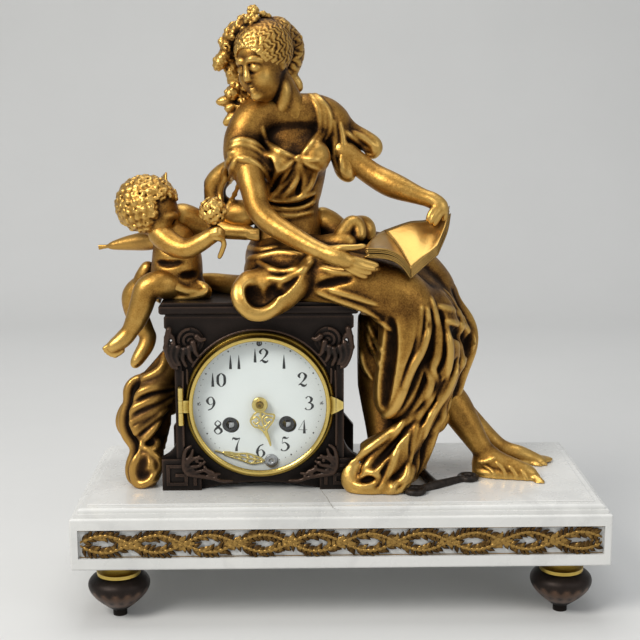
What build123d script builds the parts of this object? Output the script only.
"""A gilt and patinated figural mantel clock on a white marble base, built piece by piece."""

import os
from math import atan2, ceil, cos, degrees, hypot, pi, radians, sin, sqrt

from build123d import *

os.makedirs("parts", exist_ok=True)

# Frame: origin on the floor under the middle of the base, +X right, +Y back, +Z up, millimetres.
# Clearances shared by many pieces
OVERRUN = 3.0
RUN_FIT = 0.05
SEAT_FIT = 0.10
AIR = 0.40

# Marble plinth and moulded top slab
PLINTH_W = 372.0
PLINTH_D = 162.0
PLINTH_H = 37.0
PLINTH_EDGE = 1.6
SLAB_W = 366.0
SLAB_D = 157.0
SLAB_H = 7.0
SLAB_LIP_H = 2.6
SLAB_INSET = 8.0
SLAB_STEP = 2.2

# Gilt frieze of two crossing garlands
FRIEZE_W = 361.0
FRIEZE_H = 20.5
FRIEZE_RISE = 8.5
FRIEZE_RECESS = 3.0
FRIEZE_T = 1.6
FRIEZE_AIR = 0.3
FRIEZE_BAND = 6.2
FRIEZE_WAVE = 6.6
FRIEZE_UNITS = 10
FRIEZE_STEPS = 8

# Turned feet, collars and bolts
FOOT_H = 43.0
FOOT_X = 157.0
FOOT_Y = 54.0
FOOT_BOWL_R = 21.8
FOOT_BOWL_Z = 23.0
FOOT_TOP_R = 14.0
FOOT_TIP_R = 5.0
FOOT_TIP_H = 4.0
FOOT_FLANK_R_SHARE = 0.68
FOOT_FLANK_Z_SHARE = 0.52
COLLAR_H = 12.0
COLLAR_LOW_R = 15.5
COLLAR_WAIST_R = 11.5
COLLAR_TOP_R = 14.5
COLLAR_RIM_H = 2.4
BOLT_R = 2.5
BOLT_HEAD_R = 5.0
BOLT_HEAD_H = 3.0
FOOT_BOLT_GRIP = 14.0
CASE_BOLT_GRIP = 12.0

# Case
CASE_X = -56.4
CASE_TOP_HALF = 66.0
CASE_FOOT_HALF = 69.5
CASE_WAIST = 59.0
CASE_H = 124.0
CASE_FRONT_Y = -38.0
CASE_BACK_Y = 50.0
CASE_WALL = 6.0
CASE_SIDE_WALL = 5.0
CASE_FOOT_H = 23.0
CASE_FOOT_IN = 42.0
CASE_FOOT_RELIEF = 4.0
CASE_FLARE_H = 13.0
BEND_SHARE = 0.29
BEND_RISE_SHARE = 0.44
CASE_SHOULDER_H = 30.0
CASE_CAP_H = 7.0
CASE_APRON_H = 5.0
CASE_ARCH_W = 46.0
CASE_ARCH_H = 9.0
CASE_HOLE_R = 50.0
CASE_BACK_HOLE_R = 44.0
PILASTER_W = 5.0
PILASTER_RELIEF = 3.0
VOLUTE_X = 48.0
VOLUTE_DROP = 16.0
VOLUTE_R = 9.5
VOLUTE_RELIEF = 2.4
VOLUTE_RIDGE = 1.6
VOLUTE_RISE = 1.4
VOLUTE_TURNS = 2.25
FRET_W = 2.2
FRET_RISE = 1.2
FRET_SPAN = 19.0
FRET_H = 13.0
CORNICE_H = 11.0
CORNICE_HALF = 69.0
CORNICE_FRONT_Y = -43.0
CORNICE_BACK_Y = 53.0
CORNICE_STEP_H = 2.6
CORNICE_STEP_IN = 4.0
CORNICE_ROUND = 2.6

# Dial and bezel
DIAL_RISE = 62.0
DIAL_R = 49.0
DIAL_FRONT_Y = -37.0
DIAL_T = 1.5
DIAL_HOLE_R = 4.5
DIAL_WIND_HOLE_R = 5.5
DIAL_REGULATOR_HOLE_R = 2.0
PAN_R = 49.7
PAN_IN_R = 40.0
PAN_T = 3.5
STRAP_W = 2.4
STRAP_H = 8.0
BEZEL_R = 52.6
BEZEL_SIGHT_R = 46.5
BEZEL_REBATE_R = 48.6
BEZEL_BACK_Y = -38.4
BEZEL_T = 8.6
BEZEL_LIP_T = 1.6
BEZEL_STEP = 1.5
BEZEL_BEAD = 1.3
GLASS_R = 48.4
GLASS_T = 1.5
GLASS_DOME = 5.0
HINGE_X = 55.0
HINGE_Y = -44.2
HINGE_H = 27.0
HINGE_KNUCKLE_R = 2.0
HINGE_PIN_R = 0.9
HINGE_AIR = 0.3
HINGE_LEAF_T = 0.9
TAB_OUT = 6.0
TAB_H = 14.0
TAB_T = 1.6

# Hands
HAND_T = 0.9
HOUR_HAND_ANGLE = 167.0
HOUR_HAND_L = 32.0
HOUR_HAND_Y = -40.6
HOUR_BOSS_R = 5.4
HOUR_LEAF_W = 7.2
HOUR_EYE_R = 2.0
HOUR_EYE_X = 3.0
HOUR_EYE_RISE = 12.5
HOUR_SHARES = (
    (0.12, 0.30), (0.22, 0.62), (0.34, 1.00), (0.44, 0.92), (0.52, 0.42), (0.60, 0.26), (0.68, 0.36),
    (0.78, 0.18), (1.00, 0.03),
)
MINUTE_HAND_L = 42.0
MINUTE_EYE_X = 7.0
MINUTE_EYE_DROP = 42.6
MINUTE_EYE_R = 4.6
MINUTE_EYE_HOLE_R = 2.0
MINUTE_ANGLE = 166.8
MINUTE_LEAF_W = 4.6
MINUTE_SHARES = (
    (0.08, 0.34), (0.18, 0.42), (0.28, 0.95), (0.36, 1.00), (0.44, 0.50), (0.52, 0.34), (0.60, 0.48),
    (0.68, 0.26), (1.00, 0.05),
)

# Movement: plates and pillars
PLATE_R = 46.0
PLATE_T = 2.0
FRONT_PLATE_Y = -25.0
BACK_PLATE_Y = 13.0
PILLAR_R = 2.5
PILLAR_STUD_R = 1.6
PILLAR_CIRCLE_R = 41.6
PILLAR_ANGLES = (4.0, 58.0, 122.0, 176.0, 270.0)

# Movement: wheels. Every tooth is straight flanked; shares are of one module or of one tooth pitch.
ADDENDUM_SHARE = 0.85
DEDENDUM_SHARE = 1.25
ROOT_HALF_SHARE = 0.235
TIP_HALF_SHARE = 0.085
SPOKE_HOLE_SHARE = 0.21
SPOKE_CIRCLE_SHARE = 0.58
SPOKE_COUNT = 5
ARBOR_R = 1.0
PIVOT_R = 0.7
ARBOR_SHAKE = 0.3
WHEEL_T = 1.4
PINION_T = 3.0
BARREL_X = 20.2
BARREL_DROP = 15.8
BARREL_R = 16.5
BARREL_WALL = 1.2
BARREL_FRONT_Y = -18.5
BARREL_BACK_Y = 4.0
BARREL_CAP_HOLE_R = 8.0
BARREL_TEETH = 60
BARREL_MODULE = 0.6
BARREL_WHEEL_T = 2.0
WIND_ARBOR_R = 3.4
WIND_PIVOT_R = 2.8
WIND_BACK_PIVOT_R = 1.5
WIND_SQUARE = 3.7
WIND_TIP_Y = -36.2
SPRING_IN_R = 5.0
SPRING_T = 0.6
SPRING_TURNS = 6
SPRING_STEPS = 20
SECOND_PINION_TEETH = 12
SECOND_TEETH = 60
SECOND_MODULE = 0.45
SECOND_WHEEL_Y = 9.4
CENTRE_PINION_TEETH = 10
CENTRE_TEETH = 54
CENTRE_MODULE = 0.45
CENTRE_WHEEL_Y = -20.2
CANNON_R = 2.2
CANNON_TIP_Y = -44.0
CANNON_TEETH = 12
CANNON_MODULE = 0.6
CANNON_WHEEL_Y = -27.4
MOTION_TEETH = 36
MOTION_PINION_TEETH = 10
MOTION_POST_R = 1.2
HOUR_TEETH = 40
HOUR_WHEEL_Y = -30.6
HOUR_PIPE_R = 3.2
THIRD_PINION_TEETH = 9
THIRD_TEETH = 48
THIRD_MODULE = 0.4
THIRD_WHEEL_Y = -7.6
THIRD_ANGLE = 110.0
ESCAPE_PINION_TEETH = 8
ESCAPE_TEETH = 30
ESCAPE_R = 9.0
ESCAPE_ROOT_R = 7.2
ESCAPE_TOOTH_SHARES = ((0, 0), (1, 0.30), (1, 0.40), (0, 0.50))
ESCAPE_WHEEL_Y = -14.0
PALLET_RISE = 13.0
PALLET_SPAN = 10.8
PALLET_REACH = 8.6
PALLET_BEND = 4.0
PALLET_HUB_R = 2.6
PALLET_W = 2.2
CRUTCH_Y = 15.6
CRUTCH_L = 18.0
CRUTCH_W = 2.0
CRUTCH_T = 1.2
CRUTCH_PIN_R = 0.8
CRUTCH_PIN_L = 5.0
PIN_TEETH = 48
PIN_COUNT = 8
PIN_R = 0.5
PIN_L = 1.0
PIN_CIRCLE_R = 8.4
FLY_PINION_TEETH = 8
FLY_ANGLE = 120.0
FLY_R = 8.0
FLY_H = 9.0
FLY_T = 0.8
FLY_BACK_Y = 4.0
REGULATOR_RISE = 43.2
REGULATOR_R = 1.0
REGULATOR_TIP_Y = -36.4

# Movement: pendulum, hammer and bell behind the back plate
COCK_W = 12.0
COCK_T = 2.0
COCK_BACK_Y = 22.0
COCK_TOP = 45.0
COCK_WEB_T = 2.4
COCK_LOW = 33.5
COCK_PIN_R = 0.9
PENDULUM_Y = 19.2
PENDULUM_T = 1.4
PENDULUM_EYE_R = 2.2
PENDULUM_ROD_W = 3.0
PENDULUM_L = 78.0
PENDULUM_SLOT_W = 1.9
PENDULUM_SLOT_H = 4.0
BOB_R = 12.5
BOB_T = 6.0
HAMMER_X = -34.0
HAMMER_RISE = 8.0
HAMMER_Y = 19.0
HAMMER_ARM_W = 2.0
HAMMER_HEAD_X = -31.5
HAMMER_HEAD_DROP = 8.0
HAMMER_HEAD_R = 2.6
HAMMER_HEAD_Y = 29.0
BELL_DROP = 12.0
BELL_R = 27.0
BELL_T = 1.2
BELL_RIM_Y = 24.0
BELL_DEPTH = 13.0
BELL_STUD_R = 2.0
STAND_X = 33.0
STAND_DROP = 16.0
STAND_R = 2.4
STAND_ARM_W = 5.0
STAND_ARM_T = 2.2
STAND_ARM_Y = 41.0

# Back door
DOOR_R = 47.0
DOOR_T = 1.6
DOOR_RIM_T = 3.0
DOOR_AIR = 0.4
DOOR_HINGE_X = 50.4
DOOR_HINGE_Y = 53.2
DOOR_HINGE_H = 22.0
DOOR_KNUCKLE_R = 1.9
DOOR_PIN_R = 0.9
DOOR_KNOB_R = 3.0
DOOR_KNOB_L = 5.0

# Gilt figures: across from the case middle, front to back, up from the seat, and limb thickness
FIGURE_REACH = 100.0
FIGURE_DEPTH = 50.0
SIT_H = 201.0
GIRTH = 20.0
FOLD_POINTS = 2
DRAPE_FOLDS = 5
DRAPE_FOLD_SHARE = 0.08
BOOK_T = 4.0
WING_T = 4.0

# Rings of the lap from left to right: where, middle front to back, middle up, then reach at equal angles
LAP_RINGS = (
    (-69.0, -44.0, 231.0, (
        8.0, 9.0, 10.0, 10.8, 10.9, 10.5, 10.0, 9.6, 9.5, 9.6, 10.0, 10.6,
        11.6, 13.4, 15.8, 16.8, 14.9, 11.8, 9.2, 7.6, 6.8, 6.5, 6.6, 7.1,
    )),
    (-63.0, -22.0, 238.0, (
        33.1, 38.0, 35.8, 27.4, 18.4, 13.2, 10.6, 8.6, 7.0, 5.8, 9.4, 19.5,
        29.1, 36.2, 34.9, 20.6, 8.8, 7.0, 8.6, 10.6, 13.0, 15.5, 18.6, 24.8,
    )),
    (-53.0, -10.0, 244.0, (
        34.2, 34.6, 33.6, 31.1, 27.4, 23.0, 19.1, 17.0, 16.8, 17.8, 19.5, 24.2,
        33.2, 44.1, 47.1, 36.8, 27.2, 24.9, 23.6, 22.9, 23.6, 26.2, 29.8, 32.6,
    )),
    (-41.0, -6.0, 246.0, (
        35.1, 34.2, 32.6, 30.8, 28.5, 25.9, 23.2, 21.2, 20.5, 21.6, 24.8, 29.5,
        37.9, 48.8, 50.0, 40.0, 32.4, 29.1, 26.6, 26.1, 27.6, 30.0, 32.5, 34.5,
    )),
    (-28.0, -6.0, 246.0, (
        39.8, 37.9, 34.0, 29.9, 26.6, 24.0, 21.9, 20.8, 20.9, 22.6, 26.6, 33.9,
        42.9, 47.0, 43.8, 38.2, 33.2, 28.5, 25.2, 24.6, 26.5, 30.4, 35.1, 38.8,
    )),
    (-14.0, -8.0, 246.0, (
        43.2, 41.1, 35.8, 28.2, 21.9, 19.0, 18.6, 18.9, 19.2, 20.9, 25.5, 32.5,
        38.8, 42.1, 42.2, 39.1, 33.4, 27.8, 24.9, 24.2, 25.9, 31.0, 37.6, 42.1,
    )),
    (0.0, -10.0, 246.0, (
        45.0, 42.8, 37.0, 28.2, 20.2, 17.4, 18.6, 20.2, 19.9, 19.1, 23.0, 31.6,
        39.5, 43.8, 44.4, 41.1, 34.8, 28.6, 25.8, 25.1, 26.5, 31.6, 38.6, 43.6,
    )),
    (13.0, -11.0, 240.0, (
        44.6, 45.5, 42.5, 35.8, 27.4, 21.5, 19.8, 19.8, 19.9, 22.2, 28.8, 36.8,
        42.5, 44.5, 40.4, 33.1, 26.4, 22.2, 20.8, 20.6, 21.2, 24.8, 32.6, 40.2,
    )),
    (26.0, -12.0, 239.0, (
        44.1, 44.6, 41.6, 35.2, 26.9, 20.2, 17.8, 17.6, 18.1, 20.2, 26.4, 35.4,
        42.5, 45.6, 40.7, 33.0, 27.2, 24.2, 23.1, 22.8, 22.9, 25.8, 32.9, 40.2,
    )),
    (40.0, -14.0, 238.0, (
        44.1, 43.8, 40.1, 33.2, 24.4, 17.2, 14.4, 14.1, 14.6, 15.9, 20.9, 30.6,
        39.8, 45.6, 41.3, 32.7, 26.0, 23.2, 22.4, 23.2, 25.7, 30.3, 36.5, 42.1,
    )),
    (54.0, -10.0, 236.0, (
        38.4, 37.0, 34.5, 30.0, 24.0, 17.9, 13.2, 11.1, 11.1, 12.2, 14.5, 22.1,
        35.6, 44.9, 38.9, 30.2, 24.1, 21.4, 20.6, 21.4, 24.1, 30.1, 37.4, 40.9,
    )),
    (66.0, -6.0, 232.0, (
        31.8, 29.2, 27.4, 24.8, 21.4, 17.8, 14.6, 12.2, 10.6, 10.0, 11.0, 14.6,
        24.4, 35.3, 32.5, 24.8, 19.7, 17.6, 17.1, 17.6, 19.7, 24.7, 31.3, 34.9,
    )),
    (76.0, -7.0, 227.0, (
        26.0, 24.2, 22.2, 19.4, 16.0, 12.6, 9.9, 8.1, 7.1, 6.6, 6.5, 6.9,
        13.8, 24.4, 24.2, 18.3, 14.5, 12.9, 12.5, 12.9, 14.5, 18.3, 23.4, 26.5,
    )),
    (84.0, -3.0, 222.0, (
        12.0, 11.4, 10.4, 9.0, 7.5, 6.1, 5.1, 4.5, 4.1, 4.1, 4.5, 5.2,
        6.7, 10.2, 12.9, 11.6, 9.2, 8.2, 8.0, 8.2, 9.2, 11.6, 13.8, 13.3,
    )),
)

# Rings of the skirt's fall, from below: level, middle across, middle front to back, then reach
FALL_RINGS = (
    (87.0, 40.0, -16.0, (
        18.0, 20.2, 27.0, 34.9, 39.4, 39.5, 35.2, 26.8, 18.2, 14.8, 14.5, 14.5,
        14.6, 15.4, 17.2, 25.4, 36.8, 35.2, 24.6, 19.5, 18.6, 18.1, 18.0, 18.0,
    )),
    (94.0, 40.0, -16.0, (
        18.1, 20.5, 27.5, 36.0, 40.9, 40.9, 36.1, 27.0, 18.2, 14.6, 14.1, 14.1,
        14.9, 16.9, 23.1, 34.2, 42.0, 42.5, 40.2, 35.8, 28.9, 22.9, 19.4, 18.1,
    )),
    (104.0, 42.0, -14.0, (
        17.4, 19.6, 26.9, 35.8, 41.1, 41.5, 37.4, 28.5, 18.9, 14.6, 14.2, 14.8,
        16.4, 19.2, 25.9, 36.5, 43.5, 42.6, 38.6, 35.0, 31.0, 26.6, 22.2, 18.8,
    )),
    (118.0, 44.0, -11.0, (
        26.1, 27.0, 31.1, 38.2, 43.2, 43.4, 39.0, 29.5, 18.8, 13.9, 13.6, 14.8,
        17.6, 21.4, 28.2, 38.1, 43.2, 42.8, 40.8, 36.6, 31.6, 29.0, 27.6, 26.4,
    )),
    (133.0, 53.0, -6.0, (
        31.2, 31.9, 31.4, 34.2, 39.5, 42.6, 42.1, 38.2, 31.5, 23.4, 17.8, 18.5,
        24.9, 32.1, 36.0, 36.0, 36.9, 40.8, 42.0, 37.6, 31.4, 27.8, 27.1, 28.6,
    )),
    (149.0, 55.0, -6.0, (
        35.6, 38.6, 38.6, 39.0, 43.0, 46.4, 45.6, 41.1, 32.8, 20.6, 10.0, 12.9,
        27.9, 38.2, 41.2, 44.5, 47.6, 45.9, 41.4, 38.9, 36.1, 32.2, 30.6, 32.1,
    )),
    (166.0, 57.0, -6.0, (
        39.9, 43.4, 42.6, 41.6, 45.1, 48.9, 48.4, 43.5, 33.5, 19.4, 8.2, 13.4,
        31.8, 42.6, 44.5, 47.6, 51.4, 49.2, 42.8, 39.9, 39.1, 36.4, 34.0, 35.4,
    )),
    (183.0, 60.0, -6.0, (
        42.0, 45.6, 44.1, 41.6, 44.0, 48.4, 49.5, 46.5, 39.4, 27.5, 15.5, 19.1,
        36.8, 46.9, 48.1, 50.2, 53.2, 51.2, 45.0, 41.5, 39.8, 36.4, 33.9, 36.2,
    )),
    (199.0, 58.0, -8.0, (
        41.1, 44.6, 43.2, 41.1, 44.0, 48.8, 49.9, 46.4, 37.9, 26.1, 17.9, 22.9,
        37.1, 44.9, 45.4, 46.8, 50.2, 50.9, 46.6, 42.2, 39.9, 36.9, 34.0, 35.8,
    )),
    (211.0, 55.0, -10.0, (
        36.5, 39.6, 39.1, 39.1, 43.5, 48.1, 48.2, 42.8, 31.8, 21.5, 19.4, 25.1,
        33.8, 39.0, 41.2, 44.6, 47.9, 48.5, 45.6, 41.2, 38.4, 35.9, 32.9, 32.8,
    )),
    (221.0, 50.0, -13.0, (
        29.6, 33.2, 35.7, 37.4, 39.7, 41.1, 38.5, 34.2, 32.3, 31.3, 30.5, 31.5,
        32.4, 33.5, 37.7, 42.5, 43.5, 41.9, 39.6, 36.3, 33.2, 31.2, 29.0, 27.7,
    )),
    (231.0, 48.0, -14.0, (
        18.8, 23.4, 27.4, 29.1, 29.6, 29.6, 30.0, 31.8, 33.7, 32.0, 27.7, 24.7,
        23.8, 24.7, 27.7, 31.8, 33.5, 31.9, 29.1, 25.5, 21.3, 17.8, 16.4, 16.4,
    )),
)
WAIST_Z = 262.0
WAIST_LEFT_X = -80.0
WAIST_RIGHT_X = -8.0
TORSO_TOP_Z = 346.0

# Rows: across, front to back, up (above the seat of the sitting height, below it of the seat height),
# then half width and half depth of limb thickness
TORSO_SHARES = (
    (0.194, 0.08, 0.199, 1.27, 1.07),
    (0.214, 0.10, 0.289, 1.03, 0.87),
    (0.234, 0.02, 0.403, 1.15, 1.00),
    (0.234, -0.02, 0.478, 1.27, 1.00),
    (0.224, 0.06, 0.537, 1.35, 0.82),
    (0.210, 0.10, 0.617, 0.70, 0.60),
)
DRAPE_SHARES = (
    (-0.800, -0.46, -1.000, 0.55, 0.50),
    (-0.830, -0.34, -0.778, 0.68, 0.55),
    (-0.860, -0.22, -0.600, 0.76, 0.60),
    (-0.760, -0.20, -0.520, 0.66, 0.50),
    (-0.680, -0.20, -0.415, 0.40, 0.34),
)

# Rows: across, front to back, up, then radius of limb thickness
RIGHT_SLEEVE_SHARES = (
    (-0.113, -0.12, 0.538, 0.57),
    (-0.105, -0.24, 0.491, 0.60),
    (-0.070, -0.34, 0.438, 0.53),
)
LEFT_SLEEVE_SHARES = (
    (0.538, 0.28, 0.568, 0.55),
    (0.602, 0.24, 0.511, 0.50),
    (0.629, 0.12, 0.449, 0.38),
)
SLEEVE_FLARE_SHARES = (
    (0.568, 0.32, 0.602, 0.31),
    (0.754, 0.30, 0.539, 0.28),
    (0.811, 0.24, 0.493, 0.17),
)
SHOULDER_SHARES = (
    (-0.113, -0.12, 0.538, 0.53),
    (0.215, 0.12, 0.557, 0.52),
    (0.538, 0.28, 0.568, 0.51),
)
BREAST_SHARES = (
    (0.135, -0.28, 0.466, 0.58),
    (0.395, -0.24, 0.490, 0.57),
)
BACK_CLOTH_SHARES = (
    (-0.120, 0.04, 0.480, 0.36),
    (-0.326, 0.20, 0.372, 0.35),
    (-0.196, 0.04, 0.289, 0.40),
    (-0.060, 0.02, 0.290, 0.46),
)
SASH_SHARES = (
    (0.450, 0.24, 0.261, 0.40),
    (0.537, 0.20, 0.226, 0.45),
    (0.608, 0.12, 0.170, 0.50),
)
RIGHT_ARM_SHARES = (
    (0.000, -0.40, 0.460, 0.43),
    (0.030, -0.64, 0.308, 0.42),
    (0.580, -1.14, 0.158, 0.25),
    (0.700, -1.20, 0.142, 0.28),
    (0.800, -1.24, 0.130, 0.14),
    (0.930, -1.08, 0.148, 0.12),
)
LEFT_ARM_SHARES = (
    (0.700, 0.17, 0.512, 0.43),
    (0.980, 0.02, 0.380, 0.42),
    (1.220, -0.34, 0.326, 0.25),
    (1.265, -0.44, 0.296, 0.27),
    (1.275, -0.50, 0.262, 0.14),
    (1.262, -0.52, 0.250, 0.12),
)
RIGHT_SHIN_SHARES = (
    (1.260, -0.20, -0.440, 0.66),
    (1.400, -0.16, -0.610, 0.56),
    (1.650, -0.30, -0.930, 0.36),
)
RIGHT_FOOT_SHARES = (
    (1.540, -0.30, -0.955, 0.32),
    (1.800, -0.38, -0.945, 0.38),
    (1.980, -0.44, -0.955, 0.33),
    (2.090, -0.46, -0.975, 0.17),
)
LEFT_SHIN_SHARES = (
    (1.400, 0.20, -0.480, 0.58),
    (1.580, 0.20, -0.680, 0.46),
    (1.800, 0.22, -0.900, 0.34),
)
LEFT_FOOT_SHARES = (
    (1.740, 0.22, -0.955, 0.30),
    (1.860, 0.24, -0.935, 0.36),
    (2.020, 0.28, -0.950, 0.31),
    (2.140, 0.30, -0.975, 0.17),
)
NECK_SHARES = (
    (0.215, 0.10, 0.590, 0.58),
    (0.150, 0.00, 0.680, 0.46),
    (0.070, -0.10, 0.800, 0.45),
)
HEAD_SHARES = (
    (0.050, -0.10, 0.850, 1.08),
    (0.000, -0.24, 0.770, 0.66),
)
HAIR_SHARES = (
    (0.046, 0.04, 0.866, 1.13),
    (-0.077, 0.00, 0.934, 0.45),
    (-0.177, 0.08, 0.894, 0.40),
    (-0.208, 0.12, 0.840, 0.33),
    (-0.258, 0.10, 0.806, 0.20),
)
KNOT_SHARES = (
    (0.157, 0.20, 0.874, 0.75),
    (0.248, 0.32, 0.854, 0.47),
    (0.240, 0.24, 0.785, 0.40),
)
TRESS_SHARES = (
    (-0.182, 0.16, 0.806, 0.30),
    (-0.150, 0.20, 0.737, 0.33),
    (-0.138, 0.22, 0.674, 0.34),
    (-0.160, 0.20, 0.633, 0.25),
)
FLOWER_SHARES = (
    (0.002, -0.12, 0.946, 0.30),
    (-0.032, -0.12, 0.979, 0.25),
)
CHILD_TORSO_SHARES = (
    (-0.570, -0.20, 0.055, 0.94),
    (-0.610, -0.20, 0.120, 0.84),
    (-0.665, -0.20, 0.180, 0.76),
    (-0.710, -0.22, 0.245, 0.44),
)
CHILD_HEAD_SHARES = (
    (-0.826, -0.24, 0.316, 1.02),
    (-0.790, -0.30, 0.290, 0.80),
)
CHILD_NEAR_ARM_SHARES = (
    (-0.640, -0.44, 0.205, 0.40),
    (-0.460, -0.68, 0.166, 0.33),
    (-0.340, -0.72, 0.220, 0.24),
    (-0.300, -0.72, 0.262, 0.22),
    (-0.305, -0.72, 0.308, 0.42),
)
CHILD_FAR_ARM_SHARES = (
    (-0.600, 0.06, 0.215, 0.40),
    (-0.400, 0.08, 0.200, 0.30),
    (-0.240, -0.02, 0.215, 0.24),
    (-0.130, -0.04, 0.226, 0.20),
)
CHILD_NEAR_LEG_SHARES = (
    (-0.580, -0.36, 0.062, 0.56),
    (-0.800, -0.56, 0.030, 0.47),
    (-0.930, -0.60, -0.225, 0.29),
    (-1.060, -0.72, -0.270, 0.17),
)
CHILD_FAR_LEG_SHARES = (
    (-0.620, 0.00, 0.062, 0.56),
    (-0.890, 0.04, 0.025, 0.47),
    (-0.875, 0.00, -0.300, 0.29),
    (-0.890, -0.10, -0.390, 0.17),
)
BOOK_CORNER_SHARES = (
    (0.874, -0.80, 0.194),
    (1.259, -0.64, 0.209),
    (0.960, -1.24, 0.125),
    (1.080, -0.30, 0.260),
)
WING_SHARES = (
    ((-0.690, 0.02, 0.200), (-1.100, 0.22, 0.182), (0.42, 0.52, 0.12)),
    ((-0.655, 0.04, 0.215), (-0.690, 0.42, 0.385), (0.40, 0.44, 0.12)),
)

# Winding key lying on the slab
KEY_X = 84.0
KEY_Y = -50.0
KEY_BOW_R = 8.6
KEY_BOW_HOLE_R = 5.6
KEY_BOW_SPAN = 16.6
KEY_T = 3.2
KEY_SHANK_L = 24.0
KEY_SHANK_R = 2.6
KEY_ANGLE = 12.0

# Levels worked out from the sizes above
PLINTH_TOP = FOOT_H + PLINTH_H
SLAB_TOP = PLINTH_TOP + SLAB_H
CASE_TOP = SLAB_TOP + CASE_H
SEAT_Z = CASE_TOP + CORNICE_H
SEAT_H = SEAT_Z - SLAB_TOP
DIAL_Z = SLAB_TOP + DIAL_RISE
CASE_D = CASE_BACK_Y - CASE_FRONT_Y
DIAL_BACK_Y = DIAL_FRONT_Y + DIAL_T
PAN_BACK_Y = DIAL_BACK_Y + PAN_T
FRONT_INNER_Y = FRONT_PLATE_Y + PLATE_T
BACK_INNER_Y = BACK_PLATE_Y - PLATE_T


def facing(x, y, z):
    """A plane that faces the viewer: local x is +X, local y is +Z, and it extrudes towards -Y."""
    return Plane(origin=(x, y, z), x_dir=(1, 0, 0), z_dir=(0, -1, 0))


def level(z):
    """A horizontal plane at a height."""
    return Plane.XY.offset(z)


def pitch_radius(teeth, module):
    return module * teeth / 2


def toothed(teeth, module, middle):
    """Outline of a wheel with one tooth at the angle given in radians."""
    tip = pitch_radius(teeth, module) + ADDENDUM_SHARE * module
    root = pitch_radius(teeth, module) - DEDENDUM_SHARE * module
    step = 2 * pi / teeth
    corners = (
        (root, -ROOT_HALF_SHARE),
        (tip, -TIP_HALF_SHARE),
        (tip, TIP_HALF_SHARE),
        (root, ROOT_HALF_SHARE),
    )
    points = []
    for tooth in range(teeth):
        for radius, offset_share in corners:
            angle = middle + (tooth + offset_share) * step
            points.append((radius * cos(angle), radius * sin(angle)))
    return points


def between(teeth):
    """Turn that sets a space, not a tooth, at the meeting point."""
    return pi + pi / teeth


def third_corner(start, end, from_start, from_end, side):
    """The point at two given distances from two points, on the side given."""
    across = end[0] - start[0]
    up = end[1] - start[1]
    span = hypot(across, up)
    along = (from_start**2 - from_end**2 + span**2) / (2 * span)
    out = side * sqrt(from_start**2 - along**2)
    return (
        start[0] + (along * across - out * up) / span,
        start[1] + (along * up + out * across) / span,
    )


def heading(start, end):
    return atan2(end[1] - start[1], end[0] - start[0])


def figure_point(across, back, up):
    """A point of the gilt group from its shares of the figure sizes."""
    unit = SIT_H if up > 0 else SEAT_H
    return Vector(CASE_X + across * FIGURE_REACH, back * FIGURE_DEPTH, SEAT_Z + up * unit)


def bones(rows):
    """Straight lengths of a limb: a plane square to each, its length, and its two radii."""
    points = [figure_point(row[0], row[1], row[2]) for row in rows]
    lengths = []
    for place in range(len(rows) - 1):
        along = points[place + 1] - points[place]
        plane = Plane(origin=points[place], z_dir=along)
        lengths.append((plane, along.length, rows[place][3] * GIRTH, rows[place + 1][3] * GIRTH))
    return lengths


def knuckles(rows):
    """Joint middles of a limb and the radius at each."""
    return [(figure_point(row[0], row[1], row[2]), row[3] * GIRTH) for row in rows]


def ringed(reaches):
    """Closed outline from its reach at equal angles."""
    turn = 2 * pi / len(reaches)
    return [(reach * cos(turn * place), reach * sin(turn * place)) for place, reach in enumerate(reaches)]


def folded(half_w, half_d, folds, depth_share):
    """Closed outline of gathered cloth: an oval whose radius rises and falls with each fold."""
    points = []
    count = folds * FOLD_POINTS
    for place in range(count):
        angle = 2 * pi * place / count
        swell = 1 + depth_share * cos(folds * angle)
        points.append((half_w * swell * cos(angle), half_d * swell * sin(angle)))
    return points


def spiral(inner_r, outer_r, width, turns, steps):
    """Closed outline of a flat spiral strip."""
    count = ceil(turns * steps)
    outside = []
    inside = []
    for place in range(count + 1):
        angle = 2 * pi * turns * place / count
        radius = inner_r + (outer_r - inner_r) * place / count
        outside.append((radius * cos(angle), radius * sin(angle)))
        inside.append(((radius - width) * cos(angle), (radius - width) * sin(angle)))
    return outside + inside[::-1]


# Train: places of the arbors, across and up from the dial middle
CENTRE = (0.0, 0.0)
GOING = (BARREL_X, -BARREL_DROP)
STRIKE = (-BARREL_X, -BARREL_DROP)
BARREL_MESH = pitch_radius(BARREL_TEETH + SECOND_PINION_TEETH, BARREL_MODULE)
SECOND_MESH = pitch_radius(SECOND_TEETH + CENTRE_PINION_TEETH, SECOND_MODULE)
SECOND = third_corner(CENTRE, GOING, SECOND_MESH, BARREL_MESH, 1)
PIN = (-SECOND[0], SECOND[1])
THIRD_MESH = pitch_radius(CENTRE_TEETH + THIRD_PINION_TEETH, CENTRE_MODULE)
THIRD = (THIRD_MESH * cos(radians(THIRD_ANGLE)), THIRD_MESH * sin(radians(THIRD_ANGLE)))
ESCAPE_MESH = pitch_radius(THIRD_TEETH + ESCAPE_PINION_TEETH, THIRD_MODULE)
ESCAPE = (0.0, THIRD[1] + sqrt(ESCAPE_MESH**2 - THIRD[0] ** 2))
PALLET = (0.0, ESCAPE[1] + PALLET_RISE)
MOTION_MESH = pitch_radius(CANNON_TEETH + MOTION_TEETH, CANNON_MODULE)
MOTION = (0.0, -MOTION_MESH)
HOUR_MODULE = 2 * MOTION_MESH / (MOTION_PINION_TEETH + HOUR_TEETH)
FLY_MESH = pitch_radius(PIN_TEETH + FLY_PINION_TEETH, SECOND_MODULE)
FLY = (PIN[0] + FLY_MESH * cos(radians(FLY_ANGLE)), PIN[1] + FLY_MESH * sin(radians(FLY_ANGLE)))
HAMMER = (HAMMER_X, HAMMER_RISE)
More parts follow.
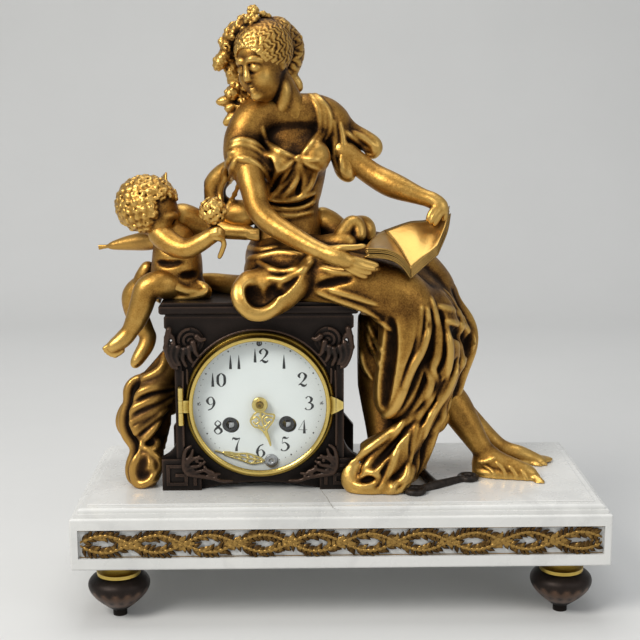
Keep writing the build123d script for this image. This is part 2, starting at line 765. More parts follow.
REGULATOR = (0.0, REGULATOR_RISE)
PILLARS = [
    (PILLAR_CIRCLE_R * cos(radians(angle)), PILLAR_CIRCLE_R * sin(radians(angle)))
    for angle in PILLAR_ANGLES
]
TRAIN_PIVOTS = (SECOND, THIRD, ESCAPE, PALLET, PIN, FLY, HAMMER)


def spot(place, y):
    """A plane facing the viewer on an arbor of the movement."""
    return facing(CASE_X + place[0], y, DIAL_Z + place[1])


# Marble plinth
with BuildPart() as base_plinth:
    with BuildSketch(level(FOOT_H)):
        Rectangle(PLINTH_W, PLINTH_D)
    extrude(amount=PLINTH_H)
    fillet(base_plinth.edges(), PLINTH_EDGE)
    recess_z = FOOT_H + FRIEZE_RISE + FRIEZE_H / 2
    with BuildSketch(facing(0, -PLINTH_D / 2 + FRIEZE_RECESS, recess_z)):
        Rectangle(FRIEZE_W, FRIEZE_H)
    extrude(amount=FRIEZE_RECESS + OVERRUN, mode=Mode.SUBTRACT)
    with BuildSketch(level(FOOT_H - OVERRUN)):
        for side in (-1, 1):
            for end in (-1, 1):
                with Locations((side * FOOT_X, end * FOOT_Y)):
                    Circle(BOLT_R + SEAT_FIT)
    extrude(amount=OVERRUN + FOOT_BOLT_GRIP + SEAT_FIT, mode=Mode.SUBTRACT)
    bolt_x = (CASE_FOOT_IN + CASE_WAIST - CASE_SIDE_WALL) / 2
    front_bolt_y = CASE_FRONT_Y + CASE_WALL / 2
    back_bolt_y = CASE_BACK_Y - CASE_WALL / 2
    case_bolts = [
        (CASE_X + side * bolt_x, depth) for side in (-1, 1) for depth in (front_bolt_y, back_bolt_y)
    ]
    with BuildSketch(level(FOOT_H - OVERRUN)):
        with Locations(*case_bolts):
            Circle(BOLT_R + SEAT_FIT)
    extrude(amount=PLINTH_H + 2 * OVERRUN, mode=Mode.SUBTRACT)
base_plinth.part.label = "base_plinth"
export_step(base_plinth.part, "parts/base_plinth.step")

# Moulded marble slab: a square lip, a rounded swell and a sunk top
with BuildPart() as base_top_slab:
    with BuildSketch(level(PLINTH_TOP)):
        Rectangle(SLAB_W, SLAB_D)
    extrude(amount=SLAB_LIP_H)
    with BuildSketch(level(PLINTH_TOP)):
        Rectangle(SLAB_W - 2 * SLAB_STEP, SLAB_D - 2 * SLAB_STEP)
    extrude(amount=SLAB_H - SLAB_STEP / 2)
    fillet(base_top_slab.edges().group_by(Axis.Z)[-1], SLAB_STEP)
    with BuildSketch(level(PLINTH_TOP)):
        Rectangle(SLAB_W - 2 * SLAB_INSET, SLAB_D - 2 * SLAB_INSET)
    extrude(amount=SLAB_H)
    fillet(base_top_slab.edges().group_by(Axis.Z)[-1], SLAB_STEP / 4)
    with BuildSketch(level(PLINTH_TOP - OVERRUN)):
        with Locations(*case_bolts):
            Circle(BOLT_R + SEAT_FIT)
    extrude(amount=SLAB_H + 2 * OVERRUN, mode=Mode.SUBTRACT)
base_top_slab.part.label = "base_top_slab"
export_step(base_top_slab.part, "parts/base_top_slab.step")

# Gilt frieze: two garlands that cross at every unit, tied at both ends
unit_w = (FRIEZE_W - FRIEZE_BAND) / FRIEZE_UNITS
with BuildPart() as frieze:
    with BuildSketch(facing(0, -PLINTH_D / 2 + FRIEZE_RECESS, recess_z)):
        for phase in (-1, 1):
            garland = []
            for place in range(FRIEZE_UNITS * FRIEZE_STEPS + 1):
                across = (place / FRIEZE_STEPS - FRIEZE_UNITS / 2) * unit_w
                rise = phase * FRIEZE_WAVE * sin(pi * place / FRIEZE_STEPS)
                garland.append((across, rise))
            upper = [(across, rise + FRIEZE_BAND / 2) for across, rise in garland]
            lower = [(across, rise - FRIEZE_BAND / 2) for across, rise in garland]
            with BuildLine():
                Spline(*upper)
                Line(upper[-1], lower[-1])
                Spline(*lower)
                Line(lower[0], upper[0])
            make_face()
        for end in (-1, 1):
            with Locations((end * (FRIEZE_W - FRIEZE_BAND - 2 * FRIEZE_AIR) / 2, 0)):
                Rectangle(FRIEZE_BAND, FRIEZE_H - 2 * FRIEZE_AIR)
    extrude(amount=FRIEZE_T)
frieze.part.label = "frieze"
export_step(frieze.part, "parts/frieze.step")

# Turned feet
foot_top = FOOT_H - COLLAR_H
with BuildPart() as feet:
    for side in (-1, 1):
        for end in (-1, 1):
            foot_axis = (side * FOOT_X, end * FOOT_Y, 0)
            with BuildSketch(Plane(origin=foot_axis, x_dir=(1, 0, 0), z_dir=(0, -1, 0))):
                with BuildLine():
                    Line((0, 0), (FOOT_TIP_R, 0))
                    Line((FOOT_TIP_R, 0), (FOOT_TIP_R, FOOT_TIP_H))
                    Spline(
                        (FOOT_TIP_R, FOOT_TIP_H),
                        (FOOT_FLANK_R_SHARE * FOOT_BOWL_R, FOOT_FLANK_Z_SHARE * FOOT_BOWL_Z),
                        (FOOT_BOWL_R, FOOT_BOWL_Z),
                        (FOOT_TOP_R, foot_top),
                    )
                    Line((FOOT_TOP_R, foot_top), (0, foot_top))
                    Line((0, foot_top), (0, 0))
                make_face()
            revolve(axis=Axis((side * FOOT_X, end * FOOT_Y, 0), (0, 0, 1)))
    with BuildSketch(level(foot_top - FOOT_BOLT_GRIP)):
        with GridLocations(2 * FOOT_X, 2 * FOOT_Y, 2, 2):
            Circle(BOLT_R + SEAT_FIT)
    extrude(amount=FOOT_BOLT_GRIP + OVERRUN, mode=Mode.SUBTRACT)
feet.part.label = "feet"
export_step(feet.part, "parts/feet.step")

# Waisted brass collars between feet and plinth
with BuildPart() as foot_collars:
    for side in (-1, 1):
        for end in (-1, 1):
            foot_axis = (side * FOOT_X, end * FOOT_Y, 0)
            with BuildSketch(Plane(origin=foot_axis, x_dir=(1, 0, 0), z_dir=(0, -1, 0))):
                with BuildLine():
                    Line((BOLT_R + SEAT_FIT, foot_top), (COLLAR_LOW_R, foot_top))
                    Line((COLLAR_LOW_R, foot_top), (COLLAR_LOW_R, foot_top + COLLAR_RIM_H))
                    ThreePointArc(
                        (COLLAR_LOW_R, foot_top + COLLAR_RIM_H),
                        (COLLAR_WAIST_R, foot_top + COLLAR_H / 2),
                        (COLLAR_TOP_R, FOOT_H - COLLAR_RIM_H),
                    )
                    Line((COLLAR_TOP_R, FOOT_H - COLLAR_RIM_H), (COLLAR_TOP_R, FOOT_H))
                    Line((COLLAR_TOP_R, FOOT_H), (BOLT_R + SEAT_FIT, FOOT_H))
                    Line((BOLT_R + SEAT_FIT, FOOT_H), (BOLT_R + SEAT_FIT, foot_top))
                make_face()
            revolve(axis=Axis((side * FOOT_X, end * FOOT_Y, 0), (0, 0, 1)))
foot_collars.part.label = "foot_collars"
export_step(foot_collars.part, "parts/foot_collars.step")

# Bolts: four studs in the feet and four headed bolts from under the plinth into the case
with BuildPart() as base_bolts:
    with BuildSketch(level(foot_top - FOOT_BOLT_GRIP)):
        with GridLocations(2 * FOOT_X, 2 * FOOT_Y, 2, 2):
            Circle(BOLT_R)
    extrude(amount=COLLAR_H + 2 * FOOT_BOLT_GRIP)
    with BuildSketch(level(FOOT_H - BOLT_HEAD_H)):
        with Locations(*case_bolts):
            RegularPolygon(BOLT_HEAD_R, 6)
    extrude(amount=BOLT_HEAD_H)
    with BuildSketch(level(FOOT_H)):
        with Locations(*case_bolts):
            Circle(BOLT_R)
    extrude(amount=PLINTH_H + SLAB_H + CASE_BOLT_GRIP)
base_bolts.part.label = "base_bolts"
export_step(base_bolts.part, "parts/base_bolts.step")

# Outline of the case front and back, shared by both panels: flared feet, straight waist, spread top
foot_top_z = SLAB_TOP + CASE_FOOT_H
waist_low_z = foot_top_z + CASE_FLARE_H
waist_high_z = CASE_TOP - CASE_SHOULDER_H
cap_z = CASE_TOP - CASE_CAP_H
low_bend = (
    CASE_WAIST + BEND_SHARE * (CASE_FOOT_HALF - CASE_WAIST),
    foot_top_z + BEND_RISE_SHARE * CASE_FLARE_H,
)
high_bend = (
    CASE_WAIST + BEND_SHARE * (CASE_TOP_HALF - CASE_WAIST),
    waist_high_z + (1 - BEND_SHARE) * (cap_z - waist_high_z),
)

# Case front: dial opening, apron, pilasters, fretted foot blocks and scrolled shoulders
volute_z = CASE_TOP - VOLUTE_DROP
with BuildPart() as case_front:
    with BuildSketch(facing(CASE_X, CASE_FRONT_Y + CASE_WALL, 0)):
        with BuildLine():
            Line((-CASE_FOOT_IN, SLAB_TOP), (-CASE_FOOT_HALF, SLAB_TOP))
            Line((-CASE_FOOT_HALF, SLAB_TOP), (-CASE_FOOT_HALF, foot_top_z))
            ThreePointArc(
                (-CASE_FOOT_HALF, foot_top_z),
                (-low_bend[0], low_bend[1]),
                (-CASE_WAIST, waist_low_z),
            )
            Line((-CASE_WAIST, waist_low_z), (-CASE_WAIST, waist_high_z))
            ThreePointArc(
                (-CASE_WAIST, waist_high_z),
                (-high_bend[0], high_bend[1]),
                (-CASE_TOP_HALF, cap_z),
            )
            Line((-CASE_TOP_HALF, cap_z), (-CASE_TOP_HALF, CASE_TOP))
            Line((-CASE_TOP_HALF, CASE_TOP), (CASE_TOP_HALF, CASE_TOP))
            Line((CASE_TOP_HALF, CASE_TOP), (CASE_TOP_HALF, cap_z))
            ThreePointArc((CASE_TOP_HALF, cap_z), high_bend, (CASE_WAIST, waist_high_z))
            Line((CASE_WAIST, waist_high_z), (CASE_WAIST, waist_low_z))
            ThreePointArc((CASE_WAIST, waist_low_z), low_bend, (CASE_FOOT_HALF, foot_top_z))
            Line((CASE_FOOT_HALF, foot_top_z), (CASE_FOOT_HALF, SLAB_TOP))
            Line((CASE_FOOT_HALF, SLAB_TOP), (CASE_FOOT_IN, SLAB_TOP))
            ThreePointArc((CASE_FOOT_IN, SLAB_TOP), (0, SLAB_TOP + CASE_APRON_H), (-CASE_FOOT_IN, SLAB_TOP))
        make_face()
    extrude(amount=CASE_WALL)
    foot_mid = (CASE_FOOT_HALF + CASE_FOOT_IN) / 2
    foot_w = CASE_FOOT_HALF - CASE_FOOT_IN
    pilaster_mid = CASE_WAIST - PILASTER_W / 2
    with BuildSketch(facing(CASE_X, CASE_FRONT_Y, 0)):
        for side in (-1, 1):
            with Locations((side * foot_mid, SLAB_TOP + CASE_FOOT_H / 2)):
                Rectangle(foot_w, CASE_FOOT_H)
    extrude(amount=CASE_FOOT_RELIEF)
    with BuildSketch(facing(CASE_X, CASE_FRONT_Y, 0)):
        for side in (-1, 1):
            with Locations((side * pilaster_mid, (foot_top_z + waist_high_z) / 2)):
                Rectangle(PILASTER_W, waist_high_z - foot_top_z)
    extrude(amount=PILASTER_RELIEF)
    with BuildSketch(facing(CASE_X, CASE_FRONT_Y, 0)):
        for side in (-1, 1):
            with Locations((side * VOLUTE_X, volute_z)):
                Circle(VOLUTE_R)
    extrude(amount=VOLUTE_RELIEF)
    curl = spiral(VOLUTE_RIDGE, VOLUTE_R, VOLUTE_RIDGE, VOLUTE_TURNS, SPRING_STEPS)
    for side in (-1, 1):
        with BuildSketch(facing(CASE_X + side * VOLUTE_X, CASE_FRONT_Y - VOLUTE_RELIEF, volute_z)):
            with BuildLine():
                Polyline(*[(side * across, rise) for across, rise in curl], close=True)
            make_face()
        extrude(amount=VOLUTE_RISE)
    fret_left = -FRET_SPAN / 2
    fret_low = -FRET_H / 2
    fret = (
        (fret_left, fret_low),
        (fret_left, -fret_low),
        (-fret_left, -fret_low),
        (-fret_left, fret_low),
        (fret_left / 3, fret_low),
        (fret_left / 3, 0),
        (-fret_left / 3, 0),
    )
    for side in (-1, 1):
        for start, end in zip(fret[:-1], fret[1:]):
            fret_x = CASE_X + side * (foot_mid + (start[0] + end[0]) / 2)
            fret_z = SLAB_TOP + CASE_FOOT_H / 2 + (start[1] + end[1]) / 2
            with BuildSketch(facing(fret_x, CASE_FRONT_Y - CASE_FOOT_RELIEF, fret_z)):
                Rectangle(abs(end[0] - start[0]) + FRET_W, abs(end[1] - start[1]) + FRET_W)
            extrude(amount=FRET_RISE)
    with BuildSketch(facing(CASE_X, CASE_FRONT_Y + CASE_WALL + OVERRUN, DIAL_Z)):
        Circle(CASE_HOLE_R)
    extrude(amount=CASE_WALL + 2 * OVERRUN + CASE_FOOT_RELIEF, mode=Mode.SUBTRACT)
    with BuildSketch(level(SLAB_TOP - OVERRUN)):
        with Locations(*case_bolts):
            Circle(BOLT_R + SEAT_FIT)
    extrude(amount=OVERRUN + CASE_BOLT_GRIP, mode=Mode.SUBTRACT)
case_front.part.label = "case_front"
export_step(case_front.part, "parts/case_front.step")

# Case back: the same outline, plain, with the round opening for the door and its hinge knuckles
door_hinge_z = DIAL_Z
knuckle_h = DOOR_HINGE_H / 3 - HINGE_AIR
with BuildPart() as case_back:
    with BuildSketch(facing(CASE_X, CASE_BACK_Y, 0)):
        with BuildLine():
            Polyline(
                (-CASE_FOOT_IN, SLAB_TOP),
                (-CASE_FOOT_HALF, SLAB_TOP),
                (-CASE_FOOT_HALF, foot_top_z),
                (-CASE_WAIST, waist_low_z),
                (-CASE_WAIST, waist_high_z),
                (-CASE_TOP_HALF, cap_z),
                (-CASE_TOP_HALF, CASE_TOP),
                (CASE_TOP_HALF, CASE_TOP),
                (CASE_TOP_HALF, cap_z),
                (CASE_WAIST, waist_high_z),
                (CASE_WAIST, waist_low_z),
                (CASE_FOOT_HALF, foot_top_z),
                (CASE_FOOT_HALF, SLAB_TOP),
                (CASE_FOOT_IN, SLAB_TOP),
                (CASE_FOOT_IN, SLAB_TOP + CASE_APRON_H),
                (-CASE_FOOT_IN, SLAB_TOP + CASE_APRON_H),
                close=True,
            )
        make_face()
        with Locations((0, DIAL_Z)):
            Circle(CASE_BACK_HOLE_R, mode=Mode.SUBTRACT)
    extrude(amount=CASE_WALL)
    with BuildSketch(level(SLAB_TOP - OVERRUN)):
        with Locations(*case_bolts):
            Circle(BOLT_R + SEAT_FIT)
    extrude(amount=OVERRUN + CASE_BOLT_GRIP, mode=Mode.SUBTRACT)
    for end in (-1, 1):
        low_z = door_hinge_z + end * DOOR_HINGE_H / 3 - knuckle_h / 2
        with BuildSketch(level(low_z)):
            with Locations((CASE_X + DOOR_HINGE_X, DOOR_HINGE_Y)):
                Circle(DOOR_KNUCKLE_R)
            with Locations((CASE_X + DOOR_HINGE_X + DOOR_KNUCKLE_R / 2, (DOOR_HINGE_Y + CASE_BACK_Y) / 2)):
                Rectangle(DOOR_KNUCKLE_R, DOOR_HINGE_Y - CASE_BACK_Y)
            with Locations((CASE_X + DOOR_HINGE_X, DOOR_HINGE_Y)):
                Circle(DOOR_PIN_R + RUN_FIT, mode=Mode.SUBTRACT)
        extrude(amount=knuckle_h)
case_back.part.label = "case_back"
export_step(case_back.part, "parts/case_back.step")

# Case sides with an arch between front and back feet
side_front_y = CASE_FRONT_Y + CASE_WALL
side_back_y = CASE_BACK_Y - CASE_WALL
side_mid_y = (side_front_y + side_back_y) / 2
side_d = side_back_y - side_front_y
with BuildPart() as case_left_side:
    with BuildSketch(Plane(origin=(CASE_X - CASE_WAIST, side_mid_y, 0), x_dir=(0, 1, 0), z_dir=(1, 0, 0))):
        with Locations((0, SLAB_TOP + CASE_H / 2)):
            Rectangle(side_d, CASE_H)
        with Locations((0, SLAB_TOP)):
            Ellipse(CASE_ARCH_W / 2, CASE_ARCH_H, mode=Mode.SUBTRACT)
    extrude(amount=CASE_SIDE_WALL)
case_left_side.part.label = "case_left_side"
export_step(case_left_side.part, "parts/case_left_side.step")

with BuildPart() as case_right_side:
    right_inner_x = CASE_X + CASE_WAIST - CASE_SIDE_WALL
    with BuildSketch(Plane(origin=(right_inner_x, side_mid_y, 0), x_dir=(0, 1, 0), z_dir=(1, 0, 0))):
        with Locations((0, SLAB_TOP + CASE_H / 2)):
            Rectangle(side_d, CASE_H)
        with Locations((0, SLAB_TOP)):
            Ellipse(CASE_ARCH_W / 2, CASE_ARCH_H, mode=Mode.SUBTRACT)
    extrude(amount=CASE_SIDE_WALL)
case_right_side.part.label = "case_right_side"
export_step(case_right_side.part, "parts/case_right_side.step")

# Cornice: stepped and rounded top that carries the figures
cornice_d = CORNICE_BACK_Y - CORNICE_FRONT_Y
cornice_y = (CORNICE_BACK_Y + CORNICE_FRONT_Y) / 2
with BuildPart() as case_top:
    with BuildSketch(level(CASE_TOP)):
        with Locations((CASE_X, cornice_y)):
            Rectangle(2 * (CORNICE_HALF - CORNICE_STEP_IN), cornice_d - 2 * CORNICE_STEP_IN)
    extrude(amount=CORNICE_STEP_H)
    with BuildSketch(level(CASE_TOP + CORNICE_STEP_H)):
        with Locations((CASE_X, cornice_y)):
            Rectangle(2 * CORNICE_HALF, cornice_d)
    extrude(amount=CORNICE_H - 2 * CORNICE_STEP_H)
    swell = case_top.edges().filter_by_position(
        Axis.Z, CASE_TOP + CORNICE_STEP_H, CASE_TOP + CORNICE_STEP_H + CORNICE_ROUND / 4
    )
    outer_reach = CORNICE_HALF - CORNICE_STEP_IN / 2
    outer = []
    for edge in swell:
        low_x = edge.bounding_box().min.X
        high_x = edge.bounding_box().max.X
        if high_x > CASE_X + outer_reach or low_x < CASE_X - outer_reach:
            outer.append(edge)
    fillet(outer, CORNICE_ROUND)
    with BuildSketch(level(SEAT_Z - CORNICE_STEP_H)):
        with Locations((CASE_X, cornice_y)):
            Rectangle(2 * CORNICE_HALF - CORNICE_STEP_IN, cornice_d - CORNICE_STEP_IN)
    extrude(amount=CORNICE_STEP_H)
case_top.part.label = "case_top"
export_step(case_top.part, "parts/case_top.step")


def turned(place):
    """A plane for turned work: local x is the radius, local y is +Y, about an arbor of the movement."""
    return Plane(origin=(CASE_X + place[0], 0, DIAL_Z + place[1]), x_dir=(1, 0, 0), z_dir=(0, 0, 1))


def turning(place):
    return Axis((CASE_X + place[0], 0, DIAL_Z + place[1]), (0, 1, 0))


def dome(half_w, height, radius):
    """Height of a shallow dome at a radius."""
    ball = (half_w**2 + height**2) / (2 * height)
    return sqrt(ball**2 - radius**2) - (ball - height)


def hand_outline(shares, length, width, angle):
    """Both sides of a clock hand, root to tip and back, turned to an angle from +X in radians."""
    right = [(length * along, -width * across) for along, across in shares]
    left = [(length * along, width * across) for along, across in reversed(shares)]
    return [
        (along * cos(angle) - across * sin(angle), along * sin(angle) + across * cos(angle))
        for along, across in right + left
    ]


# Hinged bezel: a turned ring with bead, hollow and sight lip, its knuckle and its finger tab
bezel_front_y = BEZEL_BACK_Y - BEZEL_T
bead_y = BEZEL_BACK_Y - BEZEL_STEP
hollow_y = bead_y - 2 * BEZEL_BEAD
lip_y = bezel_front_y + BEZEL_LIP_T
hinge_knuckle_h = HINGE_H / 3 - HINGE_AIR
with BuildPart() as bezel_ring:
    with BuildSketch(turned(CENTRE)):
        with BuildLine():
            Line((BEZEL_REBATE_R, BEZEL_BACK_Y), (BEZEL_R, BEZEL_BACK_Y))
            Line((BEZEL_R, BEZEL_BACK_Y), (BEZEL_R, bead_y))
            ThreePointArc(
                (BEZEL_R, bead_y),
                (BEZEL_R - BEZEL_BEAD / 3, bead_y - BEZEL_BEAD * 4 / 3),
                (BEZEL_R - BEZEL_BEAD, hollow_y),
            )
            Line((BEZEL_R - BEZEL_BEAD, hollow_y), (BEZEL_R - 3 * BEZEL_BEAD / 2, hollow_y))
            ThreePointArc(
                (BEZEL_R - 3 * BEZEL_BEAD / 2, hollow_y),
                (BEZEL_R - 2 * BEZEL_BEAD, (hollow_y + bezel_front_y) / 2 - BEZEL_BEAD / 4),
                (BEZEL_SIGHT_R + 2 * BEZEL_BEAD, bezel_front_y),
            )
            Line((BEZEL_SIGHT_R + 2 * BEZEL_BEAD, bezel_front_y), (BEZEL_SIGHT_R + BEZEL_BEAD, bezel_front_y))
            ThreePointArc(
                (BEZEL_SIGHT_R + BEZEL_BEAD, bezel_front_y),
                (BEZEL_SIGHT_R + BEZEL_BEAD / 3, bezel_front_y + BEZEL_BEAD / 3),
                (BEZEL_SIGHT_R, bezel_front_y + BEZEL_BEAD),
            )
            Line((BEZEL_SIGHT_R, bezel_front_y + BEZEL_BEAD), (BEZEL_SIGHT_R, lip_y))
            Line((BEZEL_SIGHT_R, lip_y), (BEZEL_REBATE_R, lip_y))
            Line((BEZEL_REBATE_R, lip_y), (BEZEL_REBATE_R, BEZEL_BACK_Y))
        make_face()
    revolve(axis=turning(CENTRE))
    with BuildSketch(level(DIAL_Z - hinge_knuckle_h / 2)):
        with Locations((CASE_X - HINGE_X, HINGE_Y)):
            Circle(HINGE_KNUCKLE_R)
        with Locations((CASE_X - (HINGE_X + BEZEL_REBATE_R) / 2, HINGE_Y)):
            Rectangle(HINGE_X - BEZEL_REBATE_R - BEZEL_BEAD, HINGE_KNUCKLE_R)
        with Locations((CASE_X - HINGE_X, HINGE_Y)):
            Circle(HINGE_PIN_R + RUN_FIT, mode=Mode.SUBTRACT)
    extrude(amount=hinge_knuckle_h)
    with BuildSketch(facing(CASE_X, hollow_y, DIAL_Z)):
        with BuildLine():
            Polyline(
                (BEZEL_SIGHT_R + 2 * BEZEL_BEAD, -TAB_H / 2),
                (BEZEL_R + TAB_OUT / 3, -TAB_H / 3),
                (BEZEL_R + TAB_OUT, -TAB_H / 6),
                (BEZEL_R + TAB_OUT, TAB_H / 6),
                (BEZEL_R + TAB_OUT / 3, TAB_H / 3),
                (BEZEL_SIGHT_R + 2 * BEZEL_BEAD, TAB_H / 2),
                close=True,
            )
        make_face()
    extrude(amount=TAB_T)
bezel_ring.part.label = "bezel_ring"
export_step(bezel_ring.part, "parts/bezel_ring.step")

# Convex glass, its flat rim behind the sight lip
glass_half = BEZEL_SIGHT_R - AIR
glass_mid = glass_half / 2
with BuildPart() as bezel_glass:
    with BuildSketch(turned(CENTRE)):
        with BuildLine():
            Line((GLASS_R, lip_y), (glass_half, lip_y))
            ThreePointArc(
                (glass_half, lip_y),
                (glass_mid, lip_y - dome(glass_half, GLASS_DOME, glass_mid)),
                (0, lip_y - GLASS_DOME),
            )
            Line((0, lip_y - GLASS_DOME), (0, lip_y - GLASS_DOME + GLASS_T))
            ThreePointArc(
                (0, lip_y - GLASS_DOME + GLASS_T),
                (glass_mid, lip_y - dome(glass_half, GLASS_DOME, glass_mid) + GLASS_T),
                (glass_half, lip_y + GLASS_T),
            )
            Line((glass_half, lip_y + GLASS_T), (GLASS_R, lip_y + GLASS_T))
            Line((GLASS_R, lip_y + GLASS_T), (GLASS_R, lip_y))
        make_face()
    revolve(axis=turning(CENTRE))
bezel_glass.part.label = "bezel_glass"
export_step(bezel_glass.part, "parts/bezel_glass.step")

# Fixed hinge leaf on the left pilaster
leaf_back_y = CASE_FRONT_Y - PILASTER_RELIEF
with BuildPart() as bezel_hinge:
    with BuildSketch(facing(CASE_X - HINGE_X - HINGE_KNUCKLE_R / 2, leaf_back_y, DIAL_Z)):
        Rectangle(HINGE_KNUCKLE_R, HINGE_H)
    extrude(amount=HINGE_LEAF_T)
    for end in (-1, 1):
        low_z = DIAL_Z + end * HINGE_H / 3 - hinge_knuckle_h / 2
        with BuildSketch(level(low_z)):
            with Locations((CASE_X - HINGE_X, HINGE_Y)):
                Circle(HINGE_KNUCKLE_R)
            with Locations((CASE_X - HINGE_X - HINGE_KNUCKLE_R / 2, (HINGE_Y + leaf_back_y) / 2)):
                Rectangle(HINGE_KNUCKLE_R, leaf_back_y - HINGE_Y)
            with Locations((CASE_X - HINGE_X, HINGE_Y)):
                Circle(HINGE_PIN_R + RUN_FIT, mode=Mode.SUBTRACT)
        extrude(amount=hinge_knuckle_h)
bezel_hinge.part.label = "bezel_hinge"
export_step(bezel_hinge.part, "parts/bezel_hinge.step")

# Hinge pins of the bezel and of the back door
with BuildPart() as hinge_pins:
    with BuildSketch(level(DIAL_Z - HINGE_H / 2)):
        with Locations((CASE_X - HINGE_X, HINGE_Y)):
            Circle(HINGE_PIN_R)
    extrude(amount=HINGE_H)
    with BuildSketch(level(DIAL_Z - DOOR_HINGE_H / 2)):
        with Locations((CASE_X + DOOR_HINGE_X, DOOR_HINGE_Y)):
            Circle(DOOR_PIN_R)
    extrude(amount=DOOR_HINGE_H)
hinge_pins.part.label = "hinge_pins"
export_step(hinge_pins.part, "parts/hinge_pins.step")

# Enamel dial with its centre, winding and regulator holes
with BuildPart() as dial:
    with BuildSketch(spot(CENTRE, DIAL_BACK_Y)):
        Circle(DIAL_R)
        Circle(DIAL_HOLE_R, mode=Mode.SUBTRACT)
        with Locations(GOING, STRIKE):
            Circle(DIAL_WIND_HOLE_R, mode=Mode.SUBTRACT)
        with Locations(REGULATOR):
            Circle(DIAL_REGULATOR_HOLE_R, mode=Mode.SUBTRACT)
    extrude(amount=DIAL_T)
dial.part.label = "dial"
export_step(dial.part, "parts/dial.step")

# Dial pan with the two long straps that draw the movement to the back panel
with BuildPart() as dial_pan:
    with BuildSketch(spot(CENTRE, PAN_BACK_Y)):
        Circle(PAN_R)
        Circle(PAN_IN_R, mode=Mode.SUBTRACT)
        with Locations(REGULATOR):
            Circle(DIAL_REGULATOR_HOLE_R, mode=Mode.SUBTRACT)
    extrude(amount=PAN_T)
    with BuildSketch(spot(CENTRE, side_back_y)):
        for side in (-1, 1):
            with Locations((side * (PAN_R - STRAP_W), 0)):
                Rectangle(STRAP_W, STRAP_H)
    extrude(amount=side_back_y - PAN_BACK_Y)
dial_pan.part.label = "dial_pan"
export_step(dial_pan.part, "parts/dial_pan.step")

# Hour hand: pierced leaf on a round boss
hour_angle = pi / 2 - radians(HOUR_HAND_ANGLE)
with BuildPart() as hour_hand:
    with BuildSketch(spot(CENTRE, HOUR_HAND_Y)):
        with BuildLine():
            Polyline(*hand_outline(HOUR_SHARES, HOUR_HAND_L, HOUR_LEAF_W, hour_angle), close=True)
        make_face()
        for side in (-1, 1):
            eye_x = HOUR_EYE_RISE * cos(hour_angle) - side * HOUR_EYE_X * sin(hour_angle)
            eye_z = HOUR_EYE_RISE * sin(hour_angle) + side * HOUR_EYE_X * cos(hour_angle)
            with Locations((eye_x, eye_z)):
                Circle(HOUR_EYE_R, mode=Mode.SUBTRACT)
        Circle(HOUR_BOSS_R)
        Circle(HOUR_PIPE_R + SEAT_FIT, mode=Mode.SUBTRACT)
    extrude(amount=HAND_T)
hour_hand.part.label = "hour_hand"
export_step(hour_hand.part, "parts/hour_hand.step")

# Minute hand, off its arbor and lying on the foot of the dial
with BuildPart() as minute_hand:
    with BuildSketch(spot((MINUTE_EYE_X, -MINUTE_EYE_DROP), DIAL_FRONT_Y)):
        with BuildLine():
            Polyline(
                *hand_outline(MINUTE_SHARES, MINUTE_HAND_L, MINUTE_LEAF_W, radians(MINUTE_ANGLE)),
                close=True,
            )
        make_face()
        Circle(MINUTE_EYE_R)
        Circle(MINUTE_EYE_HOLE_R, mode=Mode.SUBTRACT)
    extrude(amount=HAND_T)
minute_hand.part.label = "minute_hand"
export_step(minute_hand.part, "parts/minute_hand.step")

# Movement plates
with BuildPart() as front_plate:
    with BuildSketch(spot(CENTRE, FRONT_INNER_Y)):
        Circle(PLATE_R)
        Circle(CANNON_R + RUN_FIT, mode=Mode.SUBTRACT)
        with Locations(GOING, STRIKE):
            Circle(WIND_PIVOT_R + RUN_FIT, mode=Mode.SUBTRACT)
        with Locations(*TRAIN_PIVOTS):
            Circle(PIVOT_R + RUN_FIT, mode=Mode.SUBTRACT)
        with Locations(REGULATOR):
            Circle(REGULATOR_R + RUN_FIT, mode=Mode.SUBTRACT)
        with Locations(*PILLARS):
            Circle(PILLAR_STUD_R + SEAT_FIT, mode=Mode.SUBTRACT)
    extrude(amount=PLATE_T)
    with BuildSketch(spot(MOTION, FRONT_PLATE_Y)):
        Circle(MOTION_POST_R)
    extrude(amount=FRONT_PLATE_Y - HOUR_WHEEL_Y + PINION_T)
front_plate.part.label = "front_plate"
export_step(front_plate.part, "parts/front_plate.step")

with BuildPart() as back_plate:
    with BuildSketch(spot(CENTRE, BACK_PLATE_Y)):
        Circle(PLATE_R)
        Circle(PIVOT_R + RUN_FIT, mode=Mode.SUBTRACT)
        with Locations(GOING, STRIKE):
            Circle(WIND_BACK_PIVOT_R + RUN_FIT, mode=Mode.SUBTRACT)
        with Locations(*TRAIN_PIVOTS):
            Circle(PIVOT_R + RUN_FIT, mode=Mode.SUBTRACT)
        with Locations(REGULATOR):
            Circle(REGULATOR_R + RUN_FIT, mode=Mode.SUBTRACT)
        with Locations(*PILLARS):
            Circle(PILLAR_STUD_R + SEAT_FIT, mode=Mode.SUBTRACT)
    extrude(amount=PLATE_T)
back_plate.part.label = "back_plate"
export_step(back_plate.part, "parts/back_plate.step")

# Pillars: between the plates, and forward to the dial pan
with BuildPart() as pillars:
    with BuildSketch(spot(CENTRE, BACK_PLATE_Y + PILLAR_STUD_R)):
        with Locations(*PILLARS):
            Circle(PILLAR_STUD_R)
    extrude(amount=BACK_PLATE_Y + PILLAR_STUD_R - PAN_BACK_Y)
    with BuildSketch(spot(CENTRE, BACK_INNER_Y)):
        with Locations(*PILLARS):
            Circle(PILLAR_R)
    extrude(amount=BACK_INNER_Y - FRONT_INNER_Y)
    with BuildSketch(spot(CENTRE, FRONT_PLATE_Y)):
        with Locations(*PILLARS):
            Circle(PILLAR_R)
    extrude(amount=FRONT_PLATE_Y - PAN_BACK_Y)
pillars.part.label = "pillars"
export_step(pillars.part, "parts/pillars.step")

